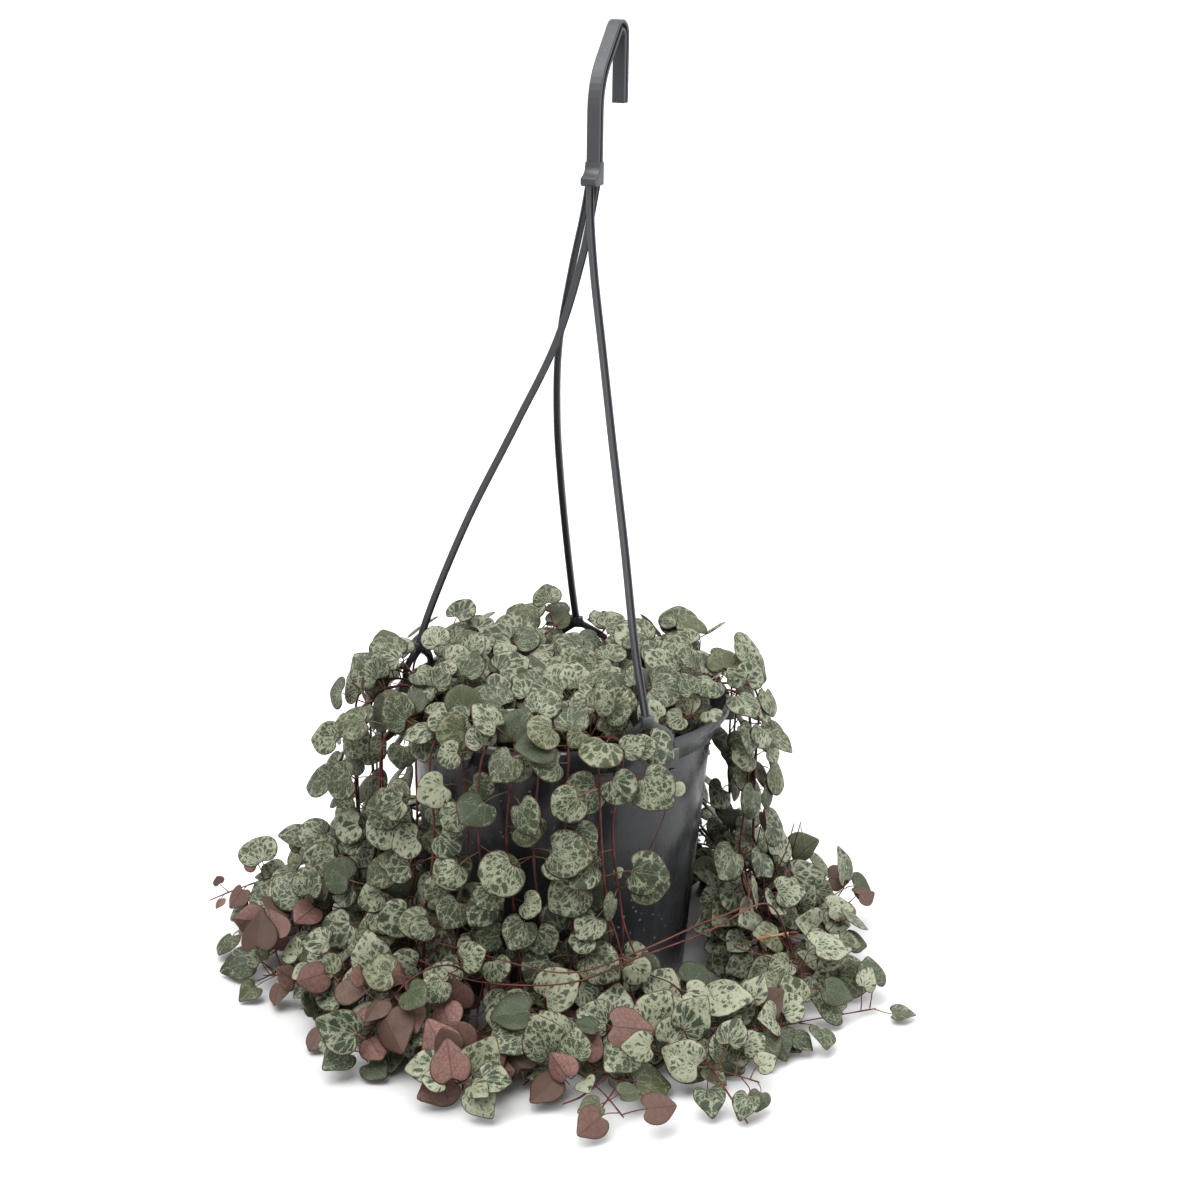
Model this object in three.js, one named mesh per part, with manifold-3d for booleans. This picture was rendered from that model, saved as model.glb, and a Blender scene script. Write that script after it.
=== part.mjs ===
/**
 * A string of hearts (Ceropegia woodii) growing in a plastic hanging pot.
 *
 * Millimetres and degrees, +Z up.  The origin is the centre of the pot's underside, which stands on z = 0.
 * Places round the pot are given as an angle, counted counter-clockwise from +X seen from above, a radius
 * from the pot's axis and a height.
 */
import * as THREE from 'three';
import { mergeVertices } from 'three/addons/utils/BufferGeometryUtils.js';
import Module from 'manifold-3d';

const wasm = await Module();
wasm.setup();

// --- driving dimensions --------------------------------------------------------------------------------

const GAP = 0.3; // clearance between pieces that touch on the real thing
const FLATNESS = 0.01; // facets that depart less than this from one plane are merged

const POT = {
  height: 120,
  rimRadius: 70, // outside of the lip
  lipHeight: 3.2,
  collarRadius: 66, // outside of the collar at its lower edge
  collarHeight: 10.8,
  shoulderRadius: 62.6, // outside of the wall just under the collar
  footRadius: 53.4,
  footChamfer: 1.4,
  stepHeight: 1.2, // of the slope inside, from the wall out to the collar
  wall: 1.6,
  floor: 2,
  drainHoles: 6,
  drainRadius: 4,
  drainCircle: 37,
  drainSides: 6,
  sides: 28,
};

const LUG = {
  count: 5, // evenly spaced on the collar, three of them in use
  firstAngle: -61,
  width: 28,
  height: 8.2,
  outerRadius: 71.6, // of the corners of its flat front
  flatInset: 0.9, // its flat front inside those corners
  innerRadius: 66.6, // its back, buried in the collar
  lipOverlap: 0.4, // how far it reaches up into the lip
  slotWidth: 3.2,
  slotDepth: 2.4,
  slotInset: 2.6, // middle of a slot inside the corners
};

const HANGER = {
  footX: 10, // the hook stands a little off the pot's axis
  footBottom: 329.6,
  footHeight: 9,
  footWidth: 6.4,
  footToe: 7, // how far the foot's toe reaches forwards from the middle of the stem
  strandRadius: 1.55,
  strandSides: 5,
  strandSteps: 12,
  archSpan: 11, // from the middle of the arch to the middle of a leg
  archRise: 7, // underside of the arch above the rim
  leans: [0, 2.4, 0], // how far the strands pull their arches sideways, counter-clockwise
  legWidth: 2.6,
  legDepth: 1.8,
  toe: 1.9,
  toeHeight: 1.5,
  apexWidth: 6.4,
  apexHeight: 3.5,
  hookAngle: 68, // the way that the hook opens
  hookTop: 391.3,
  hookSpan: 26.4, // between the middles of the stem and of the free end
  hookSlope: 46, // of the straight that leads from the stem up to the top
  hookBends: [26, 4.4], // radii of the bend out of the stem and of the one over the top
  bendSteps: [4, 7],
  hookTip: 359,
  hookDepth: 4.4,
  hookWidth: 5.4,
  flange: 1.4,
  web: 1.8,
};

const SOIL = { top: 104, holeRadius: 1.9, holeDepth: 9, holeSides: 4 };

const STEM = {
  radius: 1,
  step: 21, // longest straight of a stem
  shortest: 3,
  bend: 0.85, // cosine of the turn that ends a straight
  fineParts: 12,
  sides: 3,
  rootDepth: 8,
  firstLeaf: 20, // from the root's end, and a little more on every other stem
  clearance: 0.35, // kept between the stems of different nodes
  ownReach: 5, // a blade may come this close to its own stem
  attempts: 60,
};

const LEAF = {
  width: 19, // a full-grown blade
  widthSpread: 2.5,
  crown: 1.3, // top of the blade above its outline
  heel: 1, // the blade's lowest point, at the end of its stalk, below its outline
  heelPlace: 0.04, // from the base, in widths
  reach: 0.56, // radius of the disc that covers the blade, in widths
  slab: 0.75, // half thickness kept clear round that disc
  middle: 0.36, // middle of that disc from the blade's base, in widths
  stalkRadius: 0.5, // at the blade
  rootRadius: 0.3, // at the stem, inside it
  rootOffset: 0.9, // of each stalk of a pair from the middle of their node
  stalk: 5,
  stalkSpread: 6,
  flips: 0.2, // share of the lying leaves that show their underside
  stray: 0.02, // and of the others
  lastLeaves: 0.85, // share of a stem's length at which its leaves begin to get smaller
  turn: [0.25, 0.75], // how far a face may stray from its way, at the first try and at the last
  straightest: 0.1, // least cosine between a stalk and its blade's midrib
  attempts: 26,
  lean: { top: 0.25, hanging: 1.5, lying: 0.6 }, // how far the upper face turns from up to outwards
  sunward: { top: 0.5, hanging: 0.8, lying: 0.6 }, // and how far towards the light
  spacing: { top: 14, hanging: 45, lying: 25 }, // between pairs
};

/**
 * The heart-shaped outline of a blade one unit wide, from the notch round the right lobe to the tip.
 * x runs across the blade and y from its base to its tip.  The left half mirrors it.
 */
const LEAF_HALF = [
  [0.045, 0.03],
  [0.26, -0.12],
  [0.5, 0.1],
  [0.41, 0.53],
  [0, 0.88],
];

// Colours of the three materials.
const COLORS = {
  plastic: 0x45474a,
  soil: 0x2a211b,
  leaf: 0x7d8c6c,
};

/**
 * The stems that trail over the rim, each as [angle at the rim, radius of its hole, radius at which it hangs,
 * sweep round the pot's foot, radius of its tip, height that its lying part arches to, and where it is not
 * TIP_SIZE, the share of the full size that its last leaves have].
 */
const TRAILING_STEMS = [
  [-72, 50, 76, 48, 136, 10],
  [-80, 40, 81, 38, 124, 16],
  [-88, 52, 75, 30, 150, 12],
  [-96, 44, 80, 16, 150, 10],
  [-104, 52, 76, 28, 126, 20],
  [-112, 42, 82, 8, 134, 12],
  [-120, 52, 76, -8, 112, 20],
  [-128, 46, 82, -14, 122, 10],
  [-137, 52, 77, -18, 108, 20],
  [-146, 42, 84, -16, 128, 14],
  [-155, 52, 78, -24, 118, 26],
  [-164, 46, 86, -16, 136, 18],
  [-173, 52, 78, -24, 125, 34],
  [178, 42, 84, -12, 158, 26, 0.3],
  [168, 52, 77, -18, 125, 16],
  [143, 50, 80, 24, 125, 14],
  [133, 42, 76, -24, 124, 20],
  [122, 52, 82, 22, 125, 10],
  [110, 44, 77, -26, 130, 16],
  [98, 52, 81, 26, 142, 12],
  [68, 46, 77, -26, 136, 14],
  [57, 52, 82, 24, 118, 20],
  [43, 44, 77, -24, 122, 12],
  [29, 52, 82, -18, 126, 30],
  [16, 46, 76, -28, 118, 24],
  [4, 52, 81, -22, 116, 14],
  [-8, 46, 77, -26, 116, 20],
];

const TIP_SIZE = 0.75;

/** The short stems that fill the middle of the pot stand in a sunflower pattern. */
const CROWN = { count: 12, radius: 36, turn: 137.5, height: 127, lean: 20, firstLeaf: 18 };

/** One thin young stem hangs through the front arch and ends half way down the pot. */
const YOUNG_STEM = {
  angle: -61,
  hole: 50,
  crest: 124,
  hang: 77,
  drift: -11,
  end: 64,
  scale: 0.42, // of its leaves
  firstLeaf: 70,
};

const ROOM = {
  spacing: 2, // between the points that stand for a stem
  belowLugs: 4, // height kept free under the collar, for the toes of the arches
  hangingAbove: 34, // above this height, outside the rim, a stem hangs, and below it the stem lies down
};

/** The light comes from the front, and from there the leaves leave parts of the arches in sight. */
const FRONT = {
  light: [0, -1, 0],
  viewer: [0, -907, 442],
  legsInSight: [2], // arches, by their order in usedLugs
  legHeight: 1.5, // above the rim
  apexHeight: 8,
  margin: 1,
};

const SEED = 20731;

// --- small helpers -------------------------------------------------------------------------------------

const vec = (x, y, z) => new THREE.Vector3(x, y, z);
const UP = vec(0, 0, 1);
const radians = THREE.MathUtils.degToRad;

/** A point given by its angle in degrees, its radius and its height. */
function polar(angle, radius, z) {
  return vec(radius * Math.cos(radians(angle)), radius * Math.sin(radians(angle)), z);
}

/** A seeded source of numbers from 0 to 1. */
function makeRandom(seed) {
  let state = seed >>> 0;
  return () => {
    state = (Math.imul(state, 1664525) + 1013904223) >>> 0;
    return state / 4294967296;
  };
}

/** A closed three.js geometry as a manifold solid, with its faces turned outwards. */
function solid(geometry) {
  const bare = geometry.clone();
  bare.deleteAttribute('normal');
  bare.deleteAttribute('uv');
  const merged = mergeVertices(bare, 1e-4);
  const vertProperties = new Float32Array(merged.attributes.position.array);
  const triVerts = new Uint32Array(merged.index.array);
  if (signedVolume(vertProperties, triVerts) < 0) {
    triVerts.reverse();
  }
  const mesh = new wasm.Mesh({ numProp: 3, vertProperties, triVerts });
  return new wasm.Manifold(mesh);
}

/** Volume inside a closed mesh, negative where its faces point inwards. */
function signedVolume(points, triangles) {
  const corner = (k) => vec().fromArray(points, 3 * triangles[k]);
  let volume = 0;
  for (let k = 0; k < triangles.length; k += 3) {
    volume += corner(k).dot(corner(k + 1).cross(corner(k + 2))) / 6;
  }
  return volume;
}

const union = (solids) => wasm.Manifold.union(solids);

/** A manifold solid as a named mesh. */
function meshOf(name, manifold, material) {
  const { vertProperties, triVerts } = manifold.simplify(FLATNESS).getMesh();
  const geometry = new THREE.BufferGeometry();
  geometry.setAttribute('position', new THREE.BufferAttribute(vertProperties, 3));
  geometry.setIndex(new THREE.BufferAttribute(triVerts, 1));
  geometry.computeVertexNormals();
  const mesh = new THREE.Mesh(geometry, material);
  mesh.name = name;
  return mesh;
}

/** A solid of revolution about Z from a closed profile of [radius, height] pairs. */
function turned(profile, sides) {
  const points = profile.map(([radius, z]) => new THREE.Vector2(radius, z));
  return solid(new THREE.LatheGeometry(points, sides).rotateX(Math.PI / 2));
}

/** A box centred at a place round the pot, and turned so that its x points away from the axis. */
function boxAt(angle, radius, z, size) {
  const box = new THREE.BoxGeometry(...size);
  box.translate(radius, 0, z);
  box.rotateZ(radians(angle));
  return solid(box);
}

function shapeOf(points) {
  return new THREE.Shape(points.map(([x, y]) => new THREE.Vector2(x, y)));
}

/** A tube of a given section along a curve. */
function swept(points, section, steps) {
  const extrudePath = new THREE.CatmullRomCurve3(points);
  return new THREE.ExtrudeGeometry(shapeOf(section), { steps, extrudePath });
}

/** A curve whose steps end on its own points, however unevenly they lie. */
class JointedCurve extends THREE.CatmullRomCurve3 {
  getUtoTmapping(u) {
    return u;
  }
}

/** A regular section of a given number of sides. */
function roundSection(radius, sides) {
  return Array.from({ length: sides }, (_, k) => {
    const turn = (2 * Math.PI * k) / sides;
    return [radius * Math.cos(turn), radius * Math.sin(turn)];
  });
}

// --- the pot -------------------------------------------------------------------------------------------

const collarBottom = POT.height - POT.collarHeight;

/** Outer radius of the wall at a height below the collar. */
function wallRadius(z) {
  return POT.footRadius + ((POT.shoulderRadius - POT.footRadius) * z) / collarBottom;
}

function potProfile() {
  const { height, rimRadius, lipHeight, collarRadius, footRadius, footChamfer, wall, floor } = POT;
  const underLip = height - lipHeight;
  return [
    [0, 0],
    [footRadius - footChamfer, 0],
    [wallRadius(footChamfer), footChamfer],
    [POT.shoulderRadius, collarBottom - 0.6],
    [collarRadius, collarBottom],
    [rimRadius - 0.8, underLip],
    [rimRadius, height - 0.7],
    [rimRadius - 0.7, height],
    [rimRadius - 2, height],
    [rimRadius - 2.9, underLip],
    [collarRadius - wall, collarBottom + POT.stepHeight],
    [wallRadius(collarBottom) - wall, collarBottom],
    [wallRadius(floor) - wall, floor],
    [0, floor],
  ];
}

function lugAngles() {
  return Array.from({ length: LUG.count }, (_, k) => LUG.firstAngle + (360 / LUG.count) * k);
}

/** The lugs that carry the hanger's three arches, by their order on the collar. */
const usedLugs = [0, 2, 3].map((k) => lugAngles()[k]);

const lugTop = POT.height - POT.lipHeight + LUG.lipOverlap;

/** Distance from the pot's axis to the flat plane of an arch. */
const archPlane = Math.sqrt((LUG.outerRadius - LUG.slotInset) ** 2 - HANGER.archSpan ** 2);

function buildPot() {
  let body = turned(potProfile(), POT.sides);
  const depth = LUG.outerRadius - LUG.flatInset - LUG.innerRadius;
  for (const angle of lugAngles()) {
    const size = [depth, LUG.width, LUG.height];
    body = body.add(boxAt(angle, LUG.innerRadius + depth / 2, lugTop - LUG.height / 2, size));
  }
  for (const angle of lugAngles()) {
    for (const side of [-1, 1]) {
      const slot = new THREE.BoxGeometry(LUG.slotDepth, LUG.slotWidth, 4 * LUG.height);
      slot.translate(archPlane, side * HANGER.archSpan, POT.height);
      slot.rotateZ(radians(angle));
      body = body.subtract(solid(slot));
    }
  }
  const { drainHoles, drainRadius, drainCircle, drainSides, floor } = POT;
  for (let k = 0; k < drainHoles; k += 1) {
    const hole = new THREE.CylinderGeometry(drainRadius, drainRadius, 4 * floor, drainSides);
    hole.rotateX(Math.PI / 2);
    const place = polar((360 / drainHoles) * (k + 0.5), drainCircle, 0);
    hole.translate(place.x, place.y, 0);
    body = body.subtract(solid(hole));
  }
  return body;
}

// --- the hanger ----------------------------------------------------------------------------------------

/** Routes of the three strands, from the foot of the hook to the apex of each arch. */
const STRAND_ROUTES = [
  [[8.4, -1.6, 333], [8.6, -1.2, 318], [10.3, -5, 297], [14.2, -13.2, 266], [18.4, -25, 233],
    [23.4, -39.4, 196], [28.2, -52.8, 157]],
  [[8.4, 1.8, 333], [6.4, 2, 320], [1.4, 6.4, 294], [-3, 15, 264], [-3.6, 28, 233], [-1.6, 43.4, 199],
    [3.3, 61.4, 150]],
  [[11.4, 0.2, 333], [9.6, 0.8, 322], [6, 2, 302], [-3.9, 5.9, 267], [-20.2, 12.3, 231], [-40.4, 20.4, 188],
    [-56.4, 26.2, 147]],
];

function strandPoints(index) {
  const apex = POT.height + HANGER.archRise + HANGER.legWidth;
  const route = STRAND_ROUTES[index].map((p) => vec(...p));
  const end = polar(usedLugs[index], archPlane, apex);
  end.add(polar(usedLugs[index] + 90, HANGER.leans[index], 0));
  return [...route, end];
}

/** The outline of a wishbone arch, in its own flat plane, with the rim at height zero.  Its top may lean. */
function archOutline(lean) {
  const { archSpan, archRise, legWidth, apexWidth, apexHeight } = HANGER;
  const outer = archSpan + legWidth / 2;
  const inner = archSpan - legWidth / 2;
  const foot = lugTop - LUG.height - GAP - HANGER.toeHeight - POT.height;
  const half = apexWidth / 2;
  const legTop = 1.6;
  const right = [
    [half, archRise + apexHeight],
    [half, archRise + legWidth - 0.4],
    [outer - 2.6, archRise - 1.6],
    [outer, legTop],
    [outer, foot],
    [inner, foot],
    [inner, legTop - 0.4],
    [inner - 3, archRise - 3.4],
    [1.6, archRise],
  ];
  const left = right.map(([x, y]) => [-x, y]).reverse();
  const height = archRise + apexHeight - legTop;
  return [...right, ...left].map(([x, y]) => [x + (lean * Math.max(0, y - legTop)) / height, y]);
}

function buildArch(angle, lean) {
  const depth = HANGER.legDepth;
  const plate = new THREE.ExtrudeGeometry(shapeOf(archOutline(lean)), { depth, bevelEnabled: false });
  plate.rotateX(Math.PI / 2);
  plate.rotateZ(Math.PI / 2);
  plate.translate(archPlane - depth / 2, 0, POT.height);
  plate.rotateZ(radians(angle));
  const parts = [solid(plate)];
  const toeZ = lugTop - LUG.height - GAP - HANGER.toeHeight / 2;
  for (const side of [-1, 1]) {
    const length = depth + HANGER.toe;
    const toe = new THREE.BoxGeometry(length, HANGER.legWidth, HANGER.toeHeight);
    toe.translate(archPlane - depth / 2 + length / 2, side * HANGER.archSpan, toeZ);
    toe.rotateZ(radians(angle));
    parts.push(solid(toe));
  }
  return union(parts);
}

/** The I-shaped section of the hook: x runs across the plane of the hook and y in it. */
function hookSection() {
  const { hookDepth, hookWidth, flange, web } = HANGER;
  const quarter = [
    [web / 2, hookDepth / 2 - flange],
    [hookWidth / 2, hookDepth / 2 - flange],
    [hookWidth / 2, hookDepth / 2],
  ];
  const top = [...quarter, ...quarter.map(([x, y]) => [-x, y]).reverse()];
  return [...top, ...top.map(([x, y]) => [-x, -y])];
}

/** The middle line of the hook in its own plane: up the stem, along a slope, over the top and down. */
function hookLine() {
  const { footBottom, hookTop, hookDepth, hookSpan, hookSlope, hookBends, bendSteps, hookTip } = HANGER;
  const [outOfStem, overTop] = hookBends;
  const slope = radians(hookSlope);
  const sine = Math.sin(slope);
  const cosine = Math.cos(slope);
  const top = { x: hookSpan - overTop, z: hookTop - hookDepth / 2 - overTop };
  const run = top.x - overTop * sine - outOfStem * (1 - sine);
  const low = { x: outOfStem, z: top.z + (overTop - outOfStem) * cosine - (run * sine) / cosine };
  const arc = (centre, radius, from, to, steps) =>
    Array.from({ length: steps }, (_, k) => {
      const turn = from + ((to - from) * k) / (steps - 1);
      return vec(centre.x + radius * Math.cos(turn), 0, centre.z + radius * Math.sin(turn));
    });
  return [
    vec(0, 0, footBottom + 3),
    ...arc(low, outOfStem, Math.PI, Math.PI / 2 + slope, bendSteps[0]),
    ...arc(top, overTop, Math.PI / 2 + slope, 0, bendSteps[1]),
    vec(hookSpan, 0, hookTip),
  ];
}

function buildHook() {
  const extrudePath = new JointedCurve(hookLine());
  const steps = extrudePath.points.length - 1;
  const hook = new THREE.ExtrudeGeometry(shapeOf(hookSection()), { steps, extrudePath });
  hook.rotateZ(radians(HANGER.hookAngle));
  hook.translate(HANGER.footX, 0, 0);
  return solid(hook);
}

/** The foot of the hook: its end curves forwards into a toe, and the strands leave from below it. */
function buildHookFoot() {
  const { footX, footBottom, footHeight, footWidth, footToe, hookDepth } = HANGER;
  const half = hookDepth / 2;
  const profile = [
    [half, 0],
    [half, footHeight],
    [-half, footHeight],
    [-half - 0.3, footHeight - 2.4],
    [-half - 1.8, footHeight - 4.6],
    [-footToe + 0.6, footHeight - 5.4],
    [-footToe, footHeight - 6.6],
    [-footToe, 1],
    [-footToe + 1, 0],
  ];
  const foot = new THREE.ExtrudeGeometry(shapeOf(profile), { depth: footWidth, bevelEnabled: false });
  foot.rotateX(Math.PI / 2);
  foot.translate(0, footWidth / 2, footBottom);
  foot.rotateZ(radians(HANGER.hookAngle));
  foot.translate(footX, 0, 0);
  return solid(foot);
}

function buildHanger() {
  const parts = [buildHook(), buildHookFoot()];
  usedLugs.forEach((angle, index) => {
    const section = roundSection(HANGER.strandRadius, HANGER.strandSides);
    parts.push(buildArch(angle, HANGER.leans[index]));
    parts.push(solid(swept(strandPoints(index), section, HANGER.strandSteps)));
  });
  return union(parts);
}

// --- room for the plant --------------------------------------------------------------------------------

/**
 * Keeps what has been placed: the stems as points with a radius, and the blades as flat discs.
 * Each entry carries the number of the stem that it belongs to.
 */
class Room {
  constructor() {
    this.points = [];
    this.discs = [];
  }

  addLine(line, radius, owner) {
    for (const point of spaced(line, ROOM.spacing)) {
      this.points.push({ point, radius, owner });
    }
  }

  /** True if a point is outside the pot's wall and above the soil and the ground. */
  offPot(point, margin) {
    const radius = Math.hypot(point.x, point.y);
    if (point.z < margin) {
      return false;
    }
    if (point.z > POT.height + margin) {
      return true;
    }
    const outside = point.z > collarBottom - ROOM.belowLugs ? LUG.outerRadius : wallRadius(point.z);
    const aboveStep = point.z > collarBottom + POT.stepHeight;
    const inside = (aboveStep ? POT.collarRadius : wallRadius(SOIL.top)) - POT.wall;
    return radius > outside + margin || (radius < inside - margin && point.z > SOIL.top + margin);
  }

  /** True if a line of points stays clear of the stems of other owners, and of every disc. */
  lineFree(line, radius, owner, from = 0) {
    const samples = spaced(line, ROOM.spacing).slice(from);
    for (const sample of samples) {
      for (const other of this.points) {
        if (other.owner !== owner) {
          const least = radius + other.radius + STEM.clearance;
          if (other.point.distanceToSquared(sample) < least * least) {
            return false;
          }
        }
      }
      for (const disc of this.discs) {
        if (distanceToDisc(sample, disc) < radius + LEAF.slab) {
          return false;
        }
      }
    }
    return true;
  }

  /** True if a blade's disc stays clear of the pot, the ground, the stems and the other blades. */
  discFree(disc, owner, root) {
    for (const sample of discSamples(disc)) {
      if (!this.offPot(sample, LEAF.slab)) {
        return false;
      }
    }
    for (const other of this.points) {
      const own = other.owner === owner && other.point.distanceTo(root) < STEM.ownReach;
      if (!own && distanceToDisc(other.point, disc) < other.radius + LEAF.slab) {
        return false;
      }
    }
    return this.discs.every((other) => !discsMeet(disc, other));
  }
}

/** Points along a broken line, evenly spaced about a given step apart on each straight. */
function spaced(line, step) {
  const points = [line[0].clone()];
  for (let k = 1; k < line.length; k += 1) {
    const parts = Math.max(1, Math.round(line[k].distanceTo(line[k - 1]) / step));
    for (let part = 1; part <= parts; part += 1) {
      points.push(line[k - 1].clone().lerp(line[k], part / parts));
    }
  }
  return points;
}

function distanceToDisc(point, disc) {
  const offset = point.clone().sub(disc.centre);
  const along = offset.dot(disc.normal);
  const across = Math.sqrt(Math.max(0, offset.lengthSq() - along * along)) - disc.radius;
  return across <= 0 ? Math.abs(along) : Math.hypot(along, across);
}

/** The middle of a disc, six points half way out and twelve on its edge. */
function discSamples(disc) {
  const samples = [disc.centre];
  for (let k = 0; k < 18; k += 1) {
    const turn = (2 * Math.PI * k) / (k < 6 ? 6 : 12);
    const reach = disc.radius * (k < 6 ? 0.5 : 1);
    const point = disc.centre.clone();
    point.addScaledVector(disc.axis, reach * Math.cos(turn));
    point.addScaledVector(disc.side, reach * Math.sin(turn));
    samples.push(point);
  }
  return samples;
}

/** True if two discs cross, or lie closer than their thickness. */
function discsMeet(a, b) {
  const between = b.centre.clone().sub(a.centre);
  if (between.length() > a.radius + b.radius + 2 * LEAF.slab) {
    return false;
  }
  const near = 2 * LEAF.slab;
  if (discSamples(a).some((p) => distanceToDisc(p, b) < near)) {
    return true;
  }
  if (discSamples(b).some((p) => distanceToDisc(p, a) < near)) {
    return true;
  }
  const along = a.normal.clone().cross(b.normal);
  if (along.lengthSq() < 0.01) {
    return false;
  }
  along.normalize();
  const inA = a.normal.clone().cross(along);
  const inB = b.normal.clone().cross(along);
  const reachA = between.dot(b.normal) / inA.dot(b.normal);
  const reachB = -between.dot(a.normal) / inB.dot(a.normal);
  if (Math.abs(reachA) >= a.radius || Math.abs(reachB) >= b.radius) {
    return false;
  }
  const halfA = Math.sqrt(a.radius ** 2 - reachA ** 2);
  const halfB = Math.sqrt(b.radius ** 2 - reachB ** 2);
  const middleA = a.centre.dot(along) + reachA * inA.dot(along);
  const middleB = b.centre.dot(along) + reachB * inB.dot(along);
  return Math.abs(middleA - middleB) < halfA + halfB;
}

// --- routes of the stems -------------------------------------------------------------------------------

/** Points close together on a smooth curve through the given points. */
function fineCurve(points) {
  const fine = [];
  const at = (k) => points[Math.min(points.length - 1, Math.max(0, k))];
  for (let k = 0; k < points.length - 1; k += 1) {
    for (let part = 0; part < STEM.fineParts; part += 1) {
      const t = part / STEM.fineParts;
      const weights = [
        ((2 - t) * t - 1) * t,
        (3 * t - 5) * t * t + 2,
        ((4 - 3 * t) * t + 1) * t,
        (t - 1) * t * t,
      ];
      const point = vec(0, 0, 0);
      weights.forEach((weight, i) => point.addScaledVector(at(k - 1 + i), weight / 2));
      fine.push(point);
    }
  }
  fine.push(points[points.length - 1].clone());
  return fine;
}

/**
 * The line of a stem: a straight root from its first point to its second, and then straights along the
 * smooth curve through the rest, which end where the curve has turned or run far enough.
 */
function stemLine(points) {
  const fine = fineCurve(points.slice(1));
  const line = [points[0], fine[0]];
  let start = UP;
  for (let k = 1; k < fine.length - 1; k += 1) {
    const heading = fine[k + 1].clone().sub(fine[k]).normalize();
    const run = fine[k].distanceTo(line[line.length - 1]);
    if (run > STEM.step || (run > STEM.shortest && heading.dot(start) < STEM.bend)) {
      line.push(fine[k]);
      start = heading;
    }
  }
  const tip = fine[fine.length - 1];
  if (tip.distanceTo(line[line.length - 1]) < STEM.shortest) {
    line.pop();
  }
  line.push(tip);
  return line;
}

function trailingRoute(row, random, attempt) {
  const [crest, hole, hang, sweep, reach, lift] = row;
  const loose = 1 + attempt / 12;
  const vary = (amount) => amount * loose * (2 * random() - 1);
  const holeAngle = crest + vary(2);
  const crestHeight = POT.height + 4.5 + vary(1.5);
  const hangAngle = crest + vary(2.5);
  const side = Math.sign(sweep);
  const turn = (share) => hangAngle + sweep * share + vary(3);
  const low = (base, spread) => Math.max(1.6, base + vary(spread));
  return [
    polar(holeAngle, hole, SOIL.top - STEM.rootDepth),
    polar(holeAngle, hole, SOIL.top + 2),
    polar(crest + vary(2), (hole + POT.rimRadius) / 2, POT.height + 1.5 + vary(2)),
    polar(crest, POT.rimRadius, crestHeight),
    polar(crest, hang + 1, POT.height - 3 + vary(1.5)),
    polar(hangAngle, hang + 2 + vary(1.5), 84 + vary(4)),
    polar(hangAngle + 3 * side, hang + 1 + vary(2), 46 + vary(4)),
    polar(turn(0.12), hang + 7 + vary(3), low(13 + lift * 0.4, 4)),
    polar(turn(0.4), hang + (reach - hang) * 0.45, low(3 + lift, 3)),
    polar(turn(0.72), hang + (reach - hang) * 0.75, low(4 + lift * 0.6, 2)),
    polar(turn(1), reach + vary(4), low(5 + lift * 0.3, 3)),
  ];
}

function crownRoute(index, random, attempt) {
  const loose = 1 + attempt / 12;
  const vary = (amount) => amount * loose * (2 * random() - 1);
  const angle = CROWN.turn * index + vary(5);
  const radius = CROWN.radius * Math.sqrt((index + 0.4) / CROWN.count);
  const lean = CROWN.lean + vary(4);
  return [
    polar(angle, radius, SOIL.top - STEM.rootDepth),
    polar(angle, radius, SOIL.top + 2),
    polar(angle + vary(8), radius + lean * 0.3, (SOIL.top + CROWN.height) / 2 + 3),
    polar(angle + vary(12), radius + lean, CROWN.height + vary(3)),
  ];
}

function youngRoute(random, attempt) {
  const { angle, hole, crest, hang, drift, end } = YOUNG_STEM;
  const vary = (amount) => amount * (1 + attempt / 12) * (2 * random() - 1);
  return [
    polar(angle + 2, hole, SOIL.top - STEM.rootDepth),
    polar(angle + 2, hole, SOIL.top + 2),
    polar(angle + 1, (hole + POT.rimRadius) / 2, POT.height + 1),
    polar(angle, POT.rimRadius, crest),
    polar(angle, hang, POT.height - 3 + vary(1)),
    polar(angle + 3, hang + 1, 96 + vary(1)),
    polar(angle + drift * 0.4, hang - 2, 72),
    polar(angle + drift, hang - 5, end + vary(2)),
  ];
}

// --- leaves --------------------------------------------------------------------------------------------

/** A stem grows over the soil, hangs down the pot and then lies round its foot. */
function zoneOf(point) {
  if (point.z > SOIL.top && Math.hypot(point.x, point.y) < POT.rimRadius + 2) {
    return 'top';
  }
  return point.z > ROOM.hangingAbove ? 'hanging' : 'lying';
}

/** The way that a blade's upper face turns at a place on a stem. */
function facing(point, flipped) {
  const away = vec(point.x, point.y, 0).normalize();
  const zone = zoneOf(point);
  const face = UP.clone().addScaledVector(away, LEAF.lean[zone]);
  face.addScaledVector(vec(...FRONT.light), LEAF.sunward[zone]).normalize();
  return flipped ? face.negate() : face;
}

/** The places on the arches that stay in sight from the front. */
function placesInSight() {
  const at = (k, aside, z) => {
    const place = polar(usedLugs[k], archPlane, POT.height + z);
    return place.add(polar(usedLugs[k] + 90, aside, 0));
  };
  const leg = (k, side) => at(k, side * HANGER.archSpan, FRONT.legHeight);
  const legs = FRONT.legsInSight.flatMap((k) => [leg(k, -1), leg(k, 1)]);
  return [...usedLugs.map((_, k) => at(k, HANGER.leans[k], FRONT.apexHeight)), ...legs];
}

/** True if a blade's disc stands between the viewer and one of the places in sight. */
function hides(disc, places) {
  const viewer = vec(...FRONT.viewer);
  return places.some((place) => {
    const toPlace = place.clone().sub(viewer);
    const toBlade = disc.centre.clone().sub(viewer);
    const share = toBlade.dot(toPlace) / toPlace.lengthSq();
    return share < 1 && toBlade.addScaledVector(toPlace, -share).length() < disc.radius + FRONT.margin;
  });
}

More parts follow.
